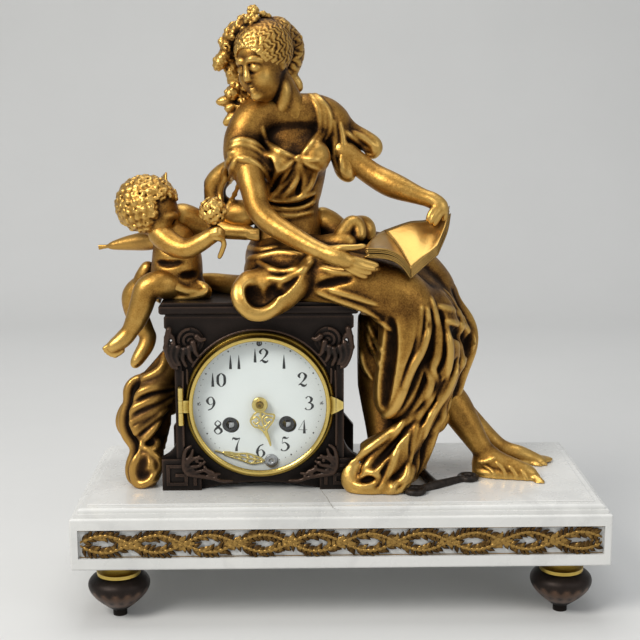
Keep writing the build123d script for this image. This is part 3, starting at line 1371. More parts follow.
# Spring barrels with their toothed rims
cavity_back_y = BARREL_BACK_Y - BARREL_WALL
cavity_front_y = BARREL_FRONT_Y + BARREL_WALL
barrel_wheel_y = BARREL_BACK_Y + BARREL_WHEEL_T
with BuildPart() as going_barrel:
    with BuildSketch(spot(GOING, BARREL_BACK_Y)):
        Circle(BARREL_R)
    extrude(amount=BARREL_BACK_Y - BARREL_FRONT_Y)
    with BuildSketch(spot(GOING, cavity_back_y)):
        Circle(BARREL_R - BARREL_WALL)
    extrude(amount=cavity_back_y - cavity_front_y, mode=Mode.SUBTRACT)
    with BuildSketch(spot(GOING, cavity_front_y + OVERRUN)):
        Circle(BARREL_CAP_HOLE_R)
    extrude(amount=BARREL_WALL + 2 * OVERRUN, mode=Mode.SUBTRACT)
    with BuildSketch(spot(GOING, barrel_wheel_y)):
        with BuildLine():
            Polyline(*toothed(BARREL_TEETH, BARREL_MODULE, heading(GOING, SECOND)), close=True)
        make_face()
    extrude(amount=BARREL_WHEEL_T)
    with BuildSketch(spot(GOING, barrel_wheel_y + OVERRUN)):
        Circle(WIND_ARBOR_R + RUN_FIT)
    extrude(amount=BARREL_WHEEL_T + BARREL_WALL + 2 * OVERRUN, mode=Mode.SUBTRACT)
going_barrel.part.label = "going_barrel"
export_step(going_barrel.part, "parts/going_barrel.step")

with BuildPart() as strike_barrel:
    with BuildSketch(spot(STRIKE, BARREL_BACK_Y)):
        Circle(BARREL_R)
    extrude(amount=BARREL_BACK_Y - BARREL_FRONT_Y)
    with BuildSketch(spot(STRIKE, cavity_back_y)):
        Circle(BARREL_R - BARREL_WALL)
    extrude(amount=cavity_back_y - cavity_front_y, mode=Mode.SUBTRACT)
    with BuildSketch(spot(STRIKE, cavity_front_y + OVERRUN)):
        Circle(BARREL_CAP_HOLE_R)
    extrude(amount=BARREL_WALL + 2 * OVERRUN, mode=Mode.SUBTRACT)
    with BuildSketch(spot(STRIKE, barrel_wheel_y)):
        with BuildLine():
            Polyline(*toothed(BARREL_TEETH, BARREL_MODULE, heading(STRIKE, PIN)), close=True)
        make_face()
    extrude(amount=BARREL_WHEEL_T)
    with BuildSketch(spot(STRIKE, barrel_wheel_y + OVERRUN)):
        Circle(WIND_ARBOR_R + RUN_FIT)
    extrude(amount=BARREL_WHEEL_T + BARREL_WALL + 2 * OVERRUN, mode=Mode.SUBTRACT)
strike_barrel.part.label = "strike_barrel"
export_step(strike_barrel.part, "parts/strike_barrel.step")

# Mainsprings: coiled strips held in the barrels
spring_r = BARREL_R - BARREL_WALL - SEAT_FIT
coil = spiral(SPRING_IN_R, spring_r, SPRING_T, SPRING_TURNS, SPRING_STEPS)
with BuildPart() as going_mainspring:
    with BuildSketch(spot(GOING, cavity_back_y - AIR)):
        with BuildLine():
            Polyline(*coil, close=True)
        make_face()
    extrude(amount=cavity_back_y - cavity_front_y - 2 * AIR)
going_mainspring.part.label = "going_mainspring"
export_step(going_mainspring.part, "parts/going_mainspring.step")

with BuildPart() as strike_mainspring:
    with BuildSketch(spot(STRIKE, cavity_back_y - AIR)):
        with BuildLine():
            Polyline(*coil, close=True)
        make_face()
    extrude(amount=cavity_back_y - cavity_front_y - 2 * AIR)
strike_mainspring.part.label = "strike_mainspring"
export_step(strike_mainspring.part, "parts/strike_mainspring.step")

# Winding arbors with the squares seen through the dial
with BuildPart() as going_winding_arbor:
    with BuildSketch(spot(GOING, BACK_PLATE_Y)):
        Circle(WIND_BACK_PIVOT_R)
    extrude(amount=PLATE_T + ARBOR_SHAKE)
    with BuildSketch(spot(GOING, BACK_INNER_Y - ARBOR_SHAKE)):
        Circle(WIND_ARBOR_R)
    extrude(amount=BACK_INNER_Y - FRONT_INNER_Y - 2 * ARBOR_SHAKE)
    with BuildSketch(spot(GOING, FRONT_INNER_Y + ARBOR_SHAKE)):
        Circle(WIND_PIVOT_R)
    extrude(amount=PLATE_T + 2 * ARBOR_SHAKE)
    with BuildSketch(spot(GOING, FRONT_PLATE_Y)):
        Rectangle(WIND_SQUARE, WIND_SQUARE)
    extrude(amount=FRONT_PLATE_Y - WIND_TIP_Y)
going_winding_arbor.part.label = "going_winding_arbor"
export_step(going_winding_arbor.part, "parts/going_winding_arbor.step")

with BuildPart() as strike_winding_arbor:
    with BuildSketch(spot(STRIKE, BACK_PLATE_Y)):
        Circle(WIND_BACK_PIVOT_R)
    extrude(amount=PLATE_T + ARBOR_SHAKE)
    with BuildSketch(spot(STRIKE, BACK_INNER_Y - ARBOR_SHAKE)):
        Circle(WIND_ARBOR_R)
    extrude(amount=BACK_INNER_Y - FRONT_INNER_Y - 2 * ARBOR_SHAKE)
    with BuildSketch(spot(STRIKE, FRONT_INNER_Y + ARBOR_SHAKE)):
        Circle(WIND_PIVOT_R)
    extrude(amount=PLATE_T + 2 * ARBOR_SHAKE)
    with BuildSketch(spot(STRIKE, FRONT_PLATE_Y)):
        Rectangle(WIND_SQUARE, WIND_SQUARE)
    extrude(amount=FRONT_PLATE_Y - WIND_TIP_Y)
strike_winding_arbor.part.label = "strike_winding_arbor"
export_step(strike_winding_arbor.part, "parts/strike_winding_arbor.step")

# Second wheel: driven by the going barrel, driving the centre pinion
arbor_span = BACK_INNER_Y - FRONT_INNER_Y - 2 * ARBOR_SHAKE
plate_span = BACK_PLATE_Y - FRONT_PLATE_Y
barrel_pinion_y = (BARREL_BACK_Y + barrel_wheel_y + PINION_T) / 2
second_r = pitch_radius(SECOND_TEETH, SECOND_MODULE)
with BuildPart() as second_wheel:
    with BuildSketch(spot(SECOND, BACK_PLATE_Y)):
        Circle(PIVOT_R)
    extrude(amount=plate_span)
    with BuildSketch(spot(SECOND, BACK_INNER_Y - ARBOR_SHAKE)):
        Circle(ARBOR_R)
    extrude(amount=arbor_span)
    with BuildSketch(spot(SECOND, barrel_pinion_y)):
        with BuildLine():
            Polyline(
                *toothed(
                    SECOND_PINION_TEETH,
                    BARREL_MODULE,
                    heading(GOING, SECOND) + between(SECOND_PINION_TEETH),
                ),
                close=True,
            )
        make_face()
    extrude(amount=PINION_T)
    with BuildSketch(spot(SECOND, SECOND_WHEEL_Y)):
        with BuildLine():
            Polyline(*toothed(SECOND_TEETH, SECOND_MODULE, heading(SECOND, CENTRE)), close=True)
        make_face()
        with PolarLocations(SPOKE_CIRCLE_SHARE * second_r, SPOKE_COUNT):
            Circle(SPOKE_HOLE_SHARE * second_r, mode=Mode.SUBTRACT)
    extrude(amount=WHEEL_T)
second_wheel.part.label = "second_wheel"
export_step(second_wheel.part, "parts/second_wheel.step")

# Centre wheel, its pinion, and the cannon pinion on the same arbor
centre_pinion_y = SECOND_WHEEL_Y + (PINION_T - WHEEL_T) / 2
cannon_y = CANNON_WHEEL_Y + (PINION_T - WHEEL_T) / 2
cannon_back_y = CENTRE_WHEEL_Y + ARBOR_SHAKE
centre_r = pitch_radius(CENTRE_TEETH, CENTRE_MODULE)
with BuildPart() as centre_wheel:
    with BuildSketch(spot(CENTRE, BACK_PLATE_Y)):
        Circle(PIVOT_R)
    extrude(amount=plate_span)
    with BuildSketch(spot(CENTRE, BACK_INNER_Y - ARBOR_SHAKE)):
        Circle(ARBOR_R)
    extrude(amount=arbor_span)
    with BuildSketch(spot(CENTRE, cannon_back_y)):
        Circle(CANNON_R)
    extrude(amount=cannon_back_y - CANNON_TIP_Y)
    with BuildSketch(spot(CENTRE, centre_pinion_y)):
        with BuildLine():
            Polyline(
                *toothed(
                    CENTRE_PINION_TEETH,
                    SECOND_MODULE,
                    heading(SECOND, CENTRE) + between(CENTRE_PINION_TEETH),
                ),
                close=True,
            )
        make_face()
    extrude(amount=PINION_T)
    with BuildSketch(spot(CENTRE, CENTRE_WHEEL_Y)):
        with BuildLine():
            Polyline(*toothed(CENTRE_TEETH, CENTRE_MODULE, heading(CENTRE, THIRD)), close=True)
        make_face()
        with PolarLocations(SPOKE_CIRCLE_SHARE * centre_r, SPOKE_COUNT):
            Circle(SPOKE_HOLE_SHARE * centre_r, mode=Mode.SUBTRACT)
    extrude(amount=WHEEL_T)
    with BuildSketch(spot(CENTRE, cannon_y)):
        with BuildLine():
            Polyline(*toothed(CANNON_TEETH, CANNON_MODULE, heading(CENTRE, MOTION)), close=True)
        make_face()
    extrude(amount=PINION_T)
centre_wheel.part.label = "centre_wheel"
export_step(centre_wheel.part, "parts/centre_wheel.step")

# Motion wheel and its pinion on a post of the front plate
with BuildPart() as motion_wheel:
    with BuildSketch(spot(MOTION, CANNON_WHEEL_Y)):
        with BuildLine():
            Polyline(
                *toothed(MOTION_TEETH, CANNON_MODULE, heading(CENTRE, MOTION) + between(MOTION_TEETH)),
                close=True,
            )
        make_face()
    extrude(amount=WHEEL_T)
    with BuildSketch(spot(MOTION, CANNON_WHEEL_Y)):
        with BuildLine():
            Polyline(*toothed(MOTION_PINION_TEETH, HOUR_MODULE, heading(MOTION, CENTRE)), close=True)
        make_face()
    extrude(amount=CANNON_WHEEL_Y - HOUR_WHEEL_Y + WHEEL_T + ARBOR_SHAKE)
    with BuildSketch(spot(MOTION, CANNON_WHEEL_Y + OVERRUN)):
        Circle(MOTION_POST_R + RUN_FIT)
    extrude(amount=CANNON_WHEEL_Y - HOUR_WHEEL_Y + WHEEL_T + 2 * OVERRUN, mode=Mode.SUBTRACT)
motion_wheel.part.label = "motion_wheel"
export_step(motion_wheel.part, "parts/motion_wheel.step")

# Hour wheel and its pipe, which carries the hour hand
hour_front_y = HOUR_HAND_Y - HAND_T
with BuildPart() as hour_wheel:
    with BuildSketch(spot(CENTRE, HOUR_WHEEL_Y)):
        with BuildLine():
            Polyline(
                *toothed(HOUR_TEETH, HOUR_MODULE, heading(MOTION, CENTRE) + between(HOUR_TEETH)), close=True
            )
        make_face()
    extrude(amount=WHEEL_T)
    with BuildSketch(spot(CENTRE, HOUR_WHEEL_Y)):
        Circle(HOUR_PIPE_R)
    extrude(amount=HOUR_WHEEL_Y - hour_front_y)
    with BuildSketch(spot(CENTRE, HOUR_WHEEL_Y + OVERRUN)):
        Circle(CANNON_R + RUN_FIT)
    extrude(amount=HOUR_WHEEL_Y - hour_front_y + 2 * OVERRUN, mode=Mode.SUBTRACT)
hour_wheel.part.label = "hour_wheel"
export_step(hour_wheel.part, "parts/hour_wheel.step")

# Third wheel
third_pinion_y = CENTRE_WHEEL_Y + (PINION_T - WHEEL_T) / 2
third_r = pitch_radius(THIRD_TEETH, THIRD_MODULE)
with BuildPart() as third_wheel:
    with BuildSketch(spot(THIRD, BACK_PLATE_Y)):
        Circle(PIVOT_R)
    extrude(amount=plate_span)
    with BuildSketch(spot(THIRD, BACK_INNER_Y - ARBOR_SHAKE)):
        Circle(ARBOR_R)
    extrude(amount=arbor_span)
    with BuildSketch(spot(THIRD, third_pinion_y)):
        with BuildLine():
            Polyline(
                *toothed(
                    THIRD_PINION_TEETH, CENTRE_MODULE, heading(CENTRE, THIRD) + between(THIRD_PINION_TEETH)
                ),
                close=True,
            )
        make_face()
    extrude(amount=PINION_T)
    with BuildSketch(spot(THIRD, THIRD_WHEEL_Y)):
        with BuildLine():
            Polyline(*toothed(THIRD_TEETH, THIRD_MODULE, heading(THIRD, ESCAPE)), close=True)
        make_face()
        with PolarLocations(SPOKE_CIRCLE_SHARE * third_r, SPOKE_COUNT):
            Circle(SPOKE_HOLE_SHARE * third_r, mode=Mode.SUBTRACT)
    extrude(amount=WHEEL_T)
third_wheel.part.label = "third_wheel"
export_step(third_wheel.part, "parts/third_wheel.step")

# Escape wheel with leaning pointed teeth
escape_pinion_y = THIRD_WHEEL_Y + (PINION_T - WHEEL_T) / 2
escape_points = []
for tooth in range(ESCAPE_TEETH):
    for rise_share, turn_share in ESCAPE_TOOTH_SHARES:
        escape_radius = ESCAPE_ROOT_R + rise_share * (ESCAPE_R - ESCAPE_ROOT_R)
        escape_angle = 2 * pi * (tooth + turn_share) / ESCAPE_TEETH
        escape_points.append((escape_radius * cos(escape_angle), escape_radius * sin(escape_angle)))
with BuildPart() as escape_wheel:
    with BuildSketch(spot(ESCAPE, BACK_PLATE_Y)):
        Circle(PIVOT_R)
    extrude(amount=plate_span)
    with BuildSketch(spot(ESCAPE, BACK_INNER_Y - ARBOR_SHAKE)):
        Circle(ARBOR_R)
    extrude(amount=arbor_span)
    with BuildSketch(spot(ESCAPE, escape_pinion_y)):
        with BuildLine():
            Polyline(
                *toothed(
                    ESCAPE_PINION_TEETH, THIRD_MODULE, heading(THIRD, ESCAPE) + between(ESCAPE_PINION_TEETH)
                ),
                close=True,
            )
        make_face()
    extrude(amount=PINION_T)
    with BuildSketch(spot(ESCAPE, ESCAPE_WHEEL_Y)):
        with BuildLine():
            Polyline(*escape_points, close=True)
        make_face()
        with PolarLocations(SPOKE_CIRCLE_SHARE * ESCAPE_ROOT_R, SPOKE_COUNT):
            Circle(SPOKE_HOLE_SHARE * ESCAPE_ROOT_R, mode=Mode.SUBTRACT)
    extrude(amount=WHEEL_T)
escape_wheel.part.label = "escape_wheel"
export_step(escape_wheel.part, "parts/escape_wheel.step")

# Pallets on their arbor, with the crutch and its pin behind the back plate
with BuildPart() as pallets:
    with BuildSketch(spot(PALLET, CRUTCH_Y)):
        Circle(PIVOT_R)
    extrude(amount=CRUTCH_Y - FRONT_PLATE_Y)
    with BuildSketch(spot(PALLET, BACK_INNER_Y - ARBOR_SHAKE)):
        Circle(ARBOR_R)
    extrude(amount=arbor_span)
    with BuildSketch(spot(PALLET, ESCAPE_WHEEL_Y)):
        Circle(PALLET_HUB_R)
        with BuildLine():
            Polyline(
                (-PALLET_SPAN - PALLET_W / 2, -PALLET_REACH),
                (-PALLET_SPAN - PALLET_W / 2, -PALLET_BEND),
                (0, PALLET_W),
                (PALLET_SPAN + PALLET_W / 2, -PALLET_BEND),
                (PALLET_SPAN + PALLET_W / 2, -PALLET_REACH),
                (PALLET_SPAN - PALLET_W / 2, -PALLET_REACH),
                (PALLET_SPAN - PALLET_W / 2, -PALLET_BEND - PALLET_W / 2),
                (0, -PALLET_W),
                (-PALLET_SPAN + PALLET_W / 2, -PALLET_BEND - PALLET_W / 2),
                (-PALLET_SPAN + PALLET_W / 2, -PALLET_REACH),
                close=True,
            )
        make_face()
    extrude(amount=WHEEL_T)
    with BuildSketch(spot(PALLET, CRUTCH_Y)):
        Circle(CRUTCH_W)
        with Locations((0, -CRUTCH_L / 2)):
            Rectangle(CRUTCH_W, CRUTCH_L)
    extrude(amount=CRUTCH_T)
    crutch_pin = (PALLET[0], PALLET[1] - CRUTCH_L + CRUTCH_W / 2)
    with BuildSketch(spot(crutch_pin, CRUTCH_Y + CRUTCH_PIN_L)):
        Circle(CRUTCH_PIN_R)
    extrude(amount=CRUTCH_PIN_L)
pallets.part.label = "pallets"
export_step(pallets.part, "parts/pallets.step")

# Suspension cock with the pin the pendulum hangs on
with BuildPart() as suspension_cock:
    cock_mid = (0.0, (COCK_TOP + COCK_LOW) / 2)
    with BuildSketch(spot(cock_mid, COCK_BACK_Y)):
        Rectangle(COCK_W, COCK_TOP - COCK_LOW)
    extrude(amount=COCK_T)
    with BuildSketch(spot((0.0, COCK_TOP - COCK_WEB_T / 2), COCK_BACK_Y)):
        Rectangle(COCK_W, COCK_WEB_T)
    extrude(amount=COCK_BACK_Y - BACK_PLATE_Y)
    with BuildSketch(spot(PALLET, COCK_BACK_Y - COCK_T)):
        Circle(COCK_PIN_R)
    extrude(amount=COCK_BACK_Y - COCK_T - PENDULUM_Y + PENDULUM_T + AIR)
suspension_cock.part.label = "suspension_cock"
export_step(suspension_cock.part, "parts/suspension_cock.step")

# Pendulum: bob, then the flat rod with its eye and crutch slot
bob_y = PENDULUM_Y - PENDULUM_T / 2 + BOB_T / 2
with BuildPart() as pendulum:
    with BuildSketch(spot((PALLET[0], PALLET[1] - PENDULUM_L), bob_y)):
        Circle(BOB_R)
    extrude(amount=BOB_T)
    fillet(pendulum.edges().filter_by(GeomType.CIRCLE), BOB_T / 3)
    with BuildSketch(spot(PALLET, PENDULUM_Y)):
        Circle(PENDULUM_EYE_R)
        with Locations((0, -PENDULUM_L / 2)):
            Rectangle(PENDULUM_ROD_W, PENDULUM_L)
        Circle(COCK_PIN_R + RUN_FIT, mode=Mode.SUBTRACT)
        with Locations((0, -CRUTCH_L + CRUTCH_W / 2)):
            Rectangle(PENDULUM_SLOT_W, PENDULUM_SLOT_H, mode=Mode.SUBTRACT)
    extrude(amount=PENDULUM_T)
pendulum.part.label = "pendulum"
export_step(pendulum.part, "parts/pendulum.step")

# Strike train: pin wheel and fly
with BuildPart() as pin_wheel:
    with BuildSketch(spot(PIN, BACK_PLATE_Y)):
        Circle(PIVOT_R)
    extrude(amount=plate_span)
    with BuildSketch(spot(PIN, BACK_INNER_Y - ARBOR_SHAKE)):
        Circle(ARBOR_R)
    extrude(amount=arbor_span)
    with BuildSketch(spot(PIN, barrel_pinion_y)):
        with BuildLine():
            Polyline(
                *toothed(
                    SECOND_PINION_TEETH, BARREL_MODULE, heading(STRIKE, PIN) + between(SECOND_PINION_TEETH)
                ),
                close=True,
            )
        make_face()
    extrude(amount=PINION_T)
    with BuildSketch(spot(PIN, SECOND_WHEEL_Y)):
        with BuildLine():
            Polyline(*toothed(PIN_TEETH, SECOND_MODULE, heading(PIN, FLY)), close=True)
        make_face()
    extrude(amount=WHEEL_T)
    with BuildSketch(spot(PIN, SECOND_WHEEL_Y + PIN_L)):
        with PolarLocations(PIN_CIRCLE_R, PIN_COUNT):
            Circle(PIN_R)
    extrude(amount=PIN_L)
pin_wheel.part.label = "pin_wheel"
export_step(pin_wheel.part, "parts/pin_wheel.step")

with BuildPart() as fly:
    with BuildSketch(spot(FLY, BACK_PLATE_Y)):
        Circle(PIVOT_R)
    extrude(amount=plate_span)
    with BuildSketch(spot(FLY, BACK_INNER_Y - ARBOR_SHAKE)):
        Circle(ARBOR_R)
    extrude(amount=arbor_span)
    with BuildSketch(spot(FLY, centre_pinion_y)):
        with BuildLine():
            Polyline(
                *toothed(FLY_PINION_TEETH, SECOND_MODULE, heading(PIN, FLY) + between(FLY_PINION_TEETH)),
                close=True,
            )
        make_face()
    extrude(amount=PINION_T)
    with BuildSketch(spot(FLY, FLY_BACK_Y)):
        Rectangle(2 * FLY_R, FLY_T)
    extrude(amount=FLY_H)
fly.part.label = "fly"
export_step(fly.part, "parts/fly.step")

# Hammer on its arbor, its head beside the bell
hammer_head = (HAMMER_HEAD_X, -HAMMER_HEAD_DROP)
hammer_mid = ((HAMMER[0] + hammer_head[0]) / 2, (HAMMER[1] + hammer_head[1]) / 2)
hammer_l = hypot(HAMMER[0] - hammer_head[0], HAMMER[1] - hammer_head[1])
with BuildPart() as hammer:
    with BuildSketch(spot(HAMMER, HAMMER_Y)):
        Circle(PIVOT_R)
    extrude(amount=HAMMER_Y - FRONT_PLATE_Y)
    with BuildSketch(spot(HAMMER, BACK_INNER_Y - ARBOR_SHAKE)):
        Circle(ARBOR_R)
    extrude(amount=arbor_span)
    with BuildSketch(spot(HAMMER, HAMMER_Y)):
        Circle(HAMMER_ARM_W)
    extrude(amount=HAMMER_ARM_W)
    with BuildSketch(spot(hammer_mid, HAMMER_Y)):
        Rectangle(hammer_l, HAMMER_ARM_W, rotation=degrees(heading(HAMMER, hammer_head)))
    extrude(amount=HAMMER_ARM_W)
    with BuildSketch(spot(hammer_head, HAMMER_HEAD_Y)):
        Circle(HAMMER_HEAD_R)
    extrude(amount=HAMMER_HEAD_Y - HAMMER_Y + HAMMER_ARM_W)
hammer.part.label = "hammer"
export_step(hammer.part, "parts/hammer.step")

# Bell and its stand
BELL = (0.0, -BELL_DROP)
STAND = (STAND_X, -STAND_DROP)
bell_crown_y = BELL_RIM_Y + BELL_DEPTH
bell_mid = BELL_R * 2 / 3
with BuildPart() as bell:
    with BuildSketch(turned(BELL)):
        with BuildLine():
            Line((BELL_R, BELL_RIM_Y), (BELL_R - BELL_T, BELL_RIM_Y))
            ThreePointArc(
                (BELL_R - BELL_T, BELL_RIM_Y),
                (bell_mid - BELL_T / 2, BELL_RIM_Y - BELL_T + dome(BELL_R, BELL_DEPTH, bell_mid)),
                (0, bell_crown_y - BELL_T),
            )
            Line((0, bell_crown_y - BELL_T), (0, bell_crown_y))
            ThreePointArc(
                (0, bell_crown_y),
                (bell_mid, BELL_RIM_Y + dome(BELL_R, BELL_DEPTH, bell_mid)),
                (BELL_R, BELL_RIM_Y),
            )
        make_face()
    revolve(axis=turning(BELL))
    with BuildSketch(spot(BELL, STAND_ARM_Y)):
        Circle(BELL_STUD_R + SEAT_FIT)
    extrude(amount=STAND_ARM_Y - BELL_RIM_Y, mode=Mode.SUBTRACT)
bell.part.label = "bell"
export_step(bell.part, "parts/bell.step")

stand_mid = ((STAND[0] + BELL[0]) / 2, (STAND[1] + BELL[1]) / 2)
stand_l = hypot(STAND[0] - BELL[0], STAND[1] - BELL[1])
with BuildPart() as bell_stand:
    with BuildSketch(spot(STAND, STAND_ARM_Y)):
        Circle(STAND_R)
    extrude(amount=STAND_ARM_Y - BACK_PLATE_Y)
    with BuildSketch(spot(stand_mid, STAND_ARM_Y)):
        SlotCenterToCenter(stand_l, STAND_ARM_W, rotation=degrees(heading(STAND, BELL)))
    extrude(amount=STAND_ARM_T)
    with BuildSketch(spot(BELL, STAND_ARM_Y)):
        Circle(BELL_STUD_R)
    extrude(amount=STAND_ARM_Y - bell_crown_y + 2 * BELL_T)
bell_stand.part.label = "bell_stand"
export_step(bell_stand.part, "parts/bell_stand.step")

# Regulator arbor, its end just behind the small hole over the twelve
with BuildPart() as regulator_arbor:
    with BuildSketch(spot(REGULATOR, BACK_PLATE_Y)):
        Circle(REGULATOR_R)
    extrude(amount=BACK_PLATE_Y - REGULATOR_TIP_Y)
    with BuildSketch(spot(REGULATOR, BACK_INNER_Y - ARBOR_SHAKE)):
        Circle(2 * REGULATOR_R)
    extrude(amount=WHEEL_T)
regulator_arbor.part.label = "regulator_arbor"
export_step(regulator_arbor.part, "parts/regulator_arbor.step")

# Round back door with its knuckle and knob
door_front_y = CASE_BACK_Y + DOOR_AIR
with BuildPart() as back_door:
    with BuildSketch(spot(CENTRE, door_front_y + DOOR_RIM_T)):
        Circle(DOOR_R)
    extrude(amount=DOOR_RIM_T)
    with BuildSketch(spot(CENTRE, door_front_y + DOOR_RIM_T + OVERRUN)):
        Circle(DOOR_R - DOOR_RIM_T)
    extrude(amount=DOOR_RIM_T - DOOR_T + OVERRUN, mode=Mode.SUBTRACT)
    knob_x = -DOOR_R + 2 * DOOR_RIM_T + DOOR_KNOB_R
    with BuildSketch(spot((knob_x, 0), door_front_y + DOOR_T + DOOR_KNOB_L)):
        Circle(DOOR_KNOB_R)
    extrude(amount=DOOR_KNOB_L)
    with BuildSketch(level(DIAL_Z - knuckle_h / 2)):
        with Locations((CASE_X + DOOR_HINGE_X, DOOR_HINGE_Y)):
            Circle(DOOR_KNUCKLE_R)
        with Locations((CASE_X + (DOOR_HINGE_X + DOOR_R - DOOR_RIM_T / 2) / 2, DOOR_HINGE_Y - DOOR_T / 2)):
            Rectangle(DOOR_HINGE_X - DOOR_R + DOOR_RIM_T / 2, DOOR_T)
        with Locations((CASE_X + DOOR_HINGE_X, DOOR_HINGE_Y)):
            Circle(DOOR_PIN_R + RUN_FIT, mode=Mode.SUBTRACT)
    extrude(amount=knuckle_h)
back_door.part.label = "back_door"
export_step(back_door.part, "parts/back_door.step")


STANDING = (Align.CENTER, Align.CENTER, Align.MIN)

# Draped skirt: the lap with its fold over the cornice, the gathered fall to the base, and the sash
envelope_half = CASE_FOOT_HALF + AIR
envelope_front_y = CORNICE_FRONT_Y - AIR
envelope_back_y = CORNICE_BACK_Y + AIR
with BuildPart() as lady_skirt:
    for x, y, z, reaches in LAP_RINGS:
        with BuildSketch(Plane(origin=(x, y, z), x_dir=(0, 1, 0), z_dir=(1, 0, 0))):
            with BuildLine():
                Spline(*ringed(reaches), periodic=True)
            make_face()
    loft(ruled=True)
    for z, x, y, reaches in FALL_RINGS:
        with BuildSketch(Plane(origin=(x, y, z))):
            with BuildLine():
                Spline(*ringed(reaches), periodic=True)
            make_face()
    loft(ruled=True)
    for plane, length, low_r, high_r in bones(SASH_SHARES):
        with Locations(plane):
            Cone(low_r, high_r, length, align=STANDING)
    for middle, radius in knuckles(SASH_SHARES):
        with Locations(middle):
            Sphere(radius)
    with BuildSketch(level(SLAB_TOP - OVERRUN)):
        with Locations((CASE_X, (envelope_front_y + envelope_back_y) / 2)):
            Rectangle(2 * envelope_half, envelope_back_y - envelope_front_y)
    extrude(amount=SEAT_H + OVERRUN, mode=Mode.SUBTRACT)
    with BuildSketch(level(WAIST_Z)):
        with Locations(((WAIST_LEFT_X + WAIST_RIGHT_X) / 2, 0)):
            Rectangle(WAIST_RIGHT_X - WAIST_LEFT_X, PLINTH_D)
    extrude(amount=SIT_H, mode=Mode.SUBTRACT)
lady_skirt.part.label = "lady_skirt"
export_step(lady_skirt.part, "parts/lady_skirt.step")

# Bodice with its two gathered sleeves
with BuildPart() as lady_torso:
    for across, back, up, wide, deep in TORSO_SHARES:
        with BuildSketch(Plane(origin=figure_point(across, back, up))):
            Ellipse(wide * GIRTH, deep * GIRTH)
    loft()
    sleeve_bones = bones(RIGHT_SLEEVE_SHARES) + bones(LEFT_SLEEVE_SHARES) + bones(SHOULDER_SHARES)
    sleeve_bones += bones(SLEEVE_FLARE_SHARES) + bones(BACK_CLOTH_SHARES)
    for plane, length, low_r, high_r in sleeve_bones:
        with Locations(plane):
            Cone(low_r, high_r, length, align=STANDING)
    sleeve_knuckles = knuckles(RIGHT_SLEEVE_SHARES + LEFT_SLEEVE_SHARES + SHOULDER_SHARES[1:2])
    sleeve_knuckles += knuckles(BREAST_SHARES + SLEEVE_FLARE_SHARES + BACK_CLOTH_SHARES)
    for middle, radius in sleeve_knuckles:
        with Locations(middle):
            Sphere(radius)
lady_torso.part.label = "lady_torso"
export_step(lady_torso.part, "parts/lady_torso.step")

# Open book: two boards that meet at a rounded spine
book_left, book_right, book_near, book_far = [figure_point(*corner) for corner in BOOK_CORNER_SHARES]
book_along = book_right - book_left
book_l = book_along.length
with BuildPart() as book:
    for corner in (book_near, book_far):
        reach = corner - book_left
        lean = reach - book_along * (reach.dot(book_along) / book_along.dot(book_along))
        face_up = book_along.cross(lean)
        if face_up.Z < 0:
            face_up = face_up * -1
        board = Plane(origin=(book_left + book_right) / 2, x_dir=book_along, z_dir=face_up)
        inward = board.to_local_coords(board.origin + lean).Y
        with BuildSketch(board):
            with Locations((0, inward / 2)):
                Rectangle(book_l, abs(inward))
        extrude(amount=BOOK_T)
    with Locations(Plane(origin=book_left, z_dir=book_along)):
        Cylinder(BOOK_T, book_l, align=STANDING)
book.part.label = "book"
export_step(book.part, "parts/book.step")

# Arms, from inside the sleeves to the book
with BuildPart() as lady_right_arm:
    for plane, length, low_r, high_r in bones(RIGHT_ARM_SHARES):
        with Locations(plane):
            Cone(low_r, high_r, length, align=STANDING)
    for middle, radius in knuckles(RIGHT_ARM_SHARES):
        with Locations(middle):
            Sphere(radius)
    add(lady_torso.part, mode=Mode.SUBTRACT)
    add(book.part, mode=Mode.SUBTRACT)
lady_right_arm.part.label = "lady_right_arm"
export_step(lady_right_arm.part, "parts/lady_right_arm.step")

with BuildPart() as lady_left_arm:
    for plane, length, low_r, high_r in bones(LEFT_ARM_SHARES):
        with Locations(plane):
            Cone(low_r, high_r, length, align=STANDING)
    for middle, radius in knuckles(LEFT_ARM_SHARES):
        with Locations(middle):
            Sphere(radius)
    add(lady_torso.part, mode=Mode.SUBTRACT)
    add(book.part, mode=Mode.SUBTRACT)
lady_left_arm.part.label = "lady_left_arm"
export_step(lady_left_arm.part, "parts/lady_left_arm.step")

# Head on its neck, and the dressed hair
with BuildPart() as lady_head:
    for plane, length, low_r, high_r in bones(NECK_SHARES) + bones(HEAD_SHARES):
        with Locations(plane):
            Cone(low_r, high_r, length, align=STANDING)
    for middle, radius in knuckles(NECK_SHARES + HEAD_SHARES):
        with Locations(middle):
            Sphere(radius)
    neck_foot = figure_point(*NECK_SHARES[0][:3])
    with BuildSketch(level(TORSO_TOP_Z)):
        with Locations((neck_foot.X, neck_foot.Y)):
            Rectangle(4 * GIRTH, 4 * GIRTH)
    extrude(amount=-2 * GIRTH, mode=Mode.SUBTRACT)
lady_head.part.label = "lady_head"
export_step(lady_head.part, "parts/lady_head.step")

with BuildPart() as lady_hair:
    hair_bones = bones(HAIR_SHARES) + bones(KNOT_SHARES) + bones(TRESS_SHARES) + bones(FLOWER_SHARES)
    for plane, length, low_r, high_r in hair_bones:
        with Locations(plane):
            Cone(low_r, high_r, length, align=STANDING)
    for middle, radius in knuckles(HAIR_SHARES + KNOT_SHARES + TRESS_SHARES + FLOWER_SHARES):
        with Locations(middle):
            Sphere(radius)
    add(lady_head.part, mode=Mode.SUBTRACT)
    add(lady_torso.part, mode=Mode.SUBTRACT)
lady_hair.part.label = "lady_hair"
export_step(lady_hair.part, "parts/lady_hair.step")

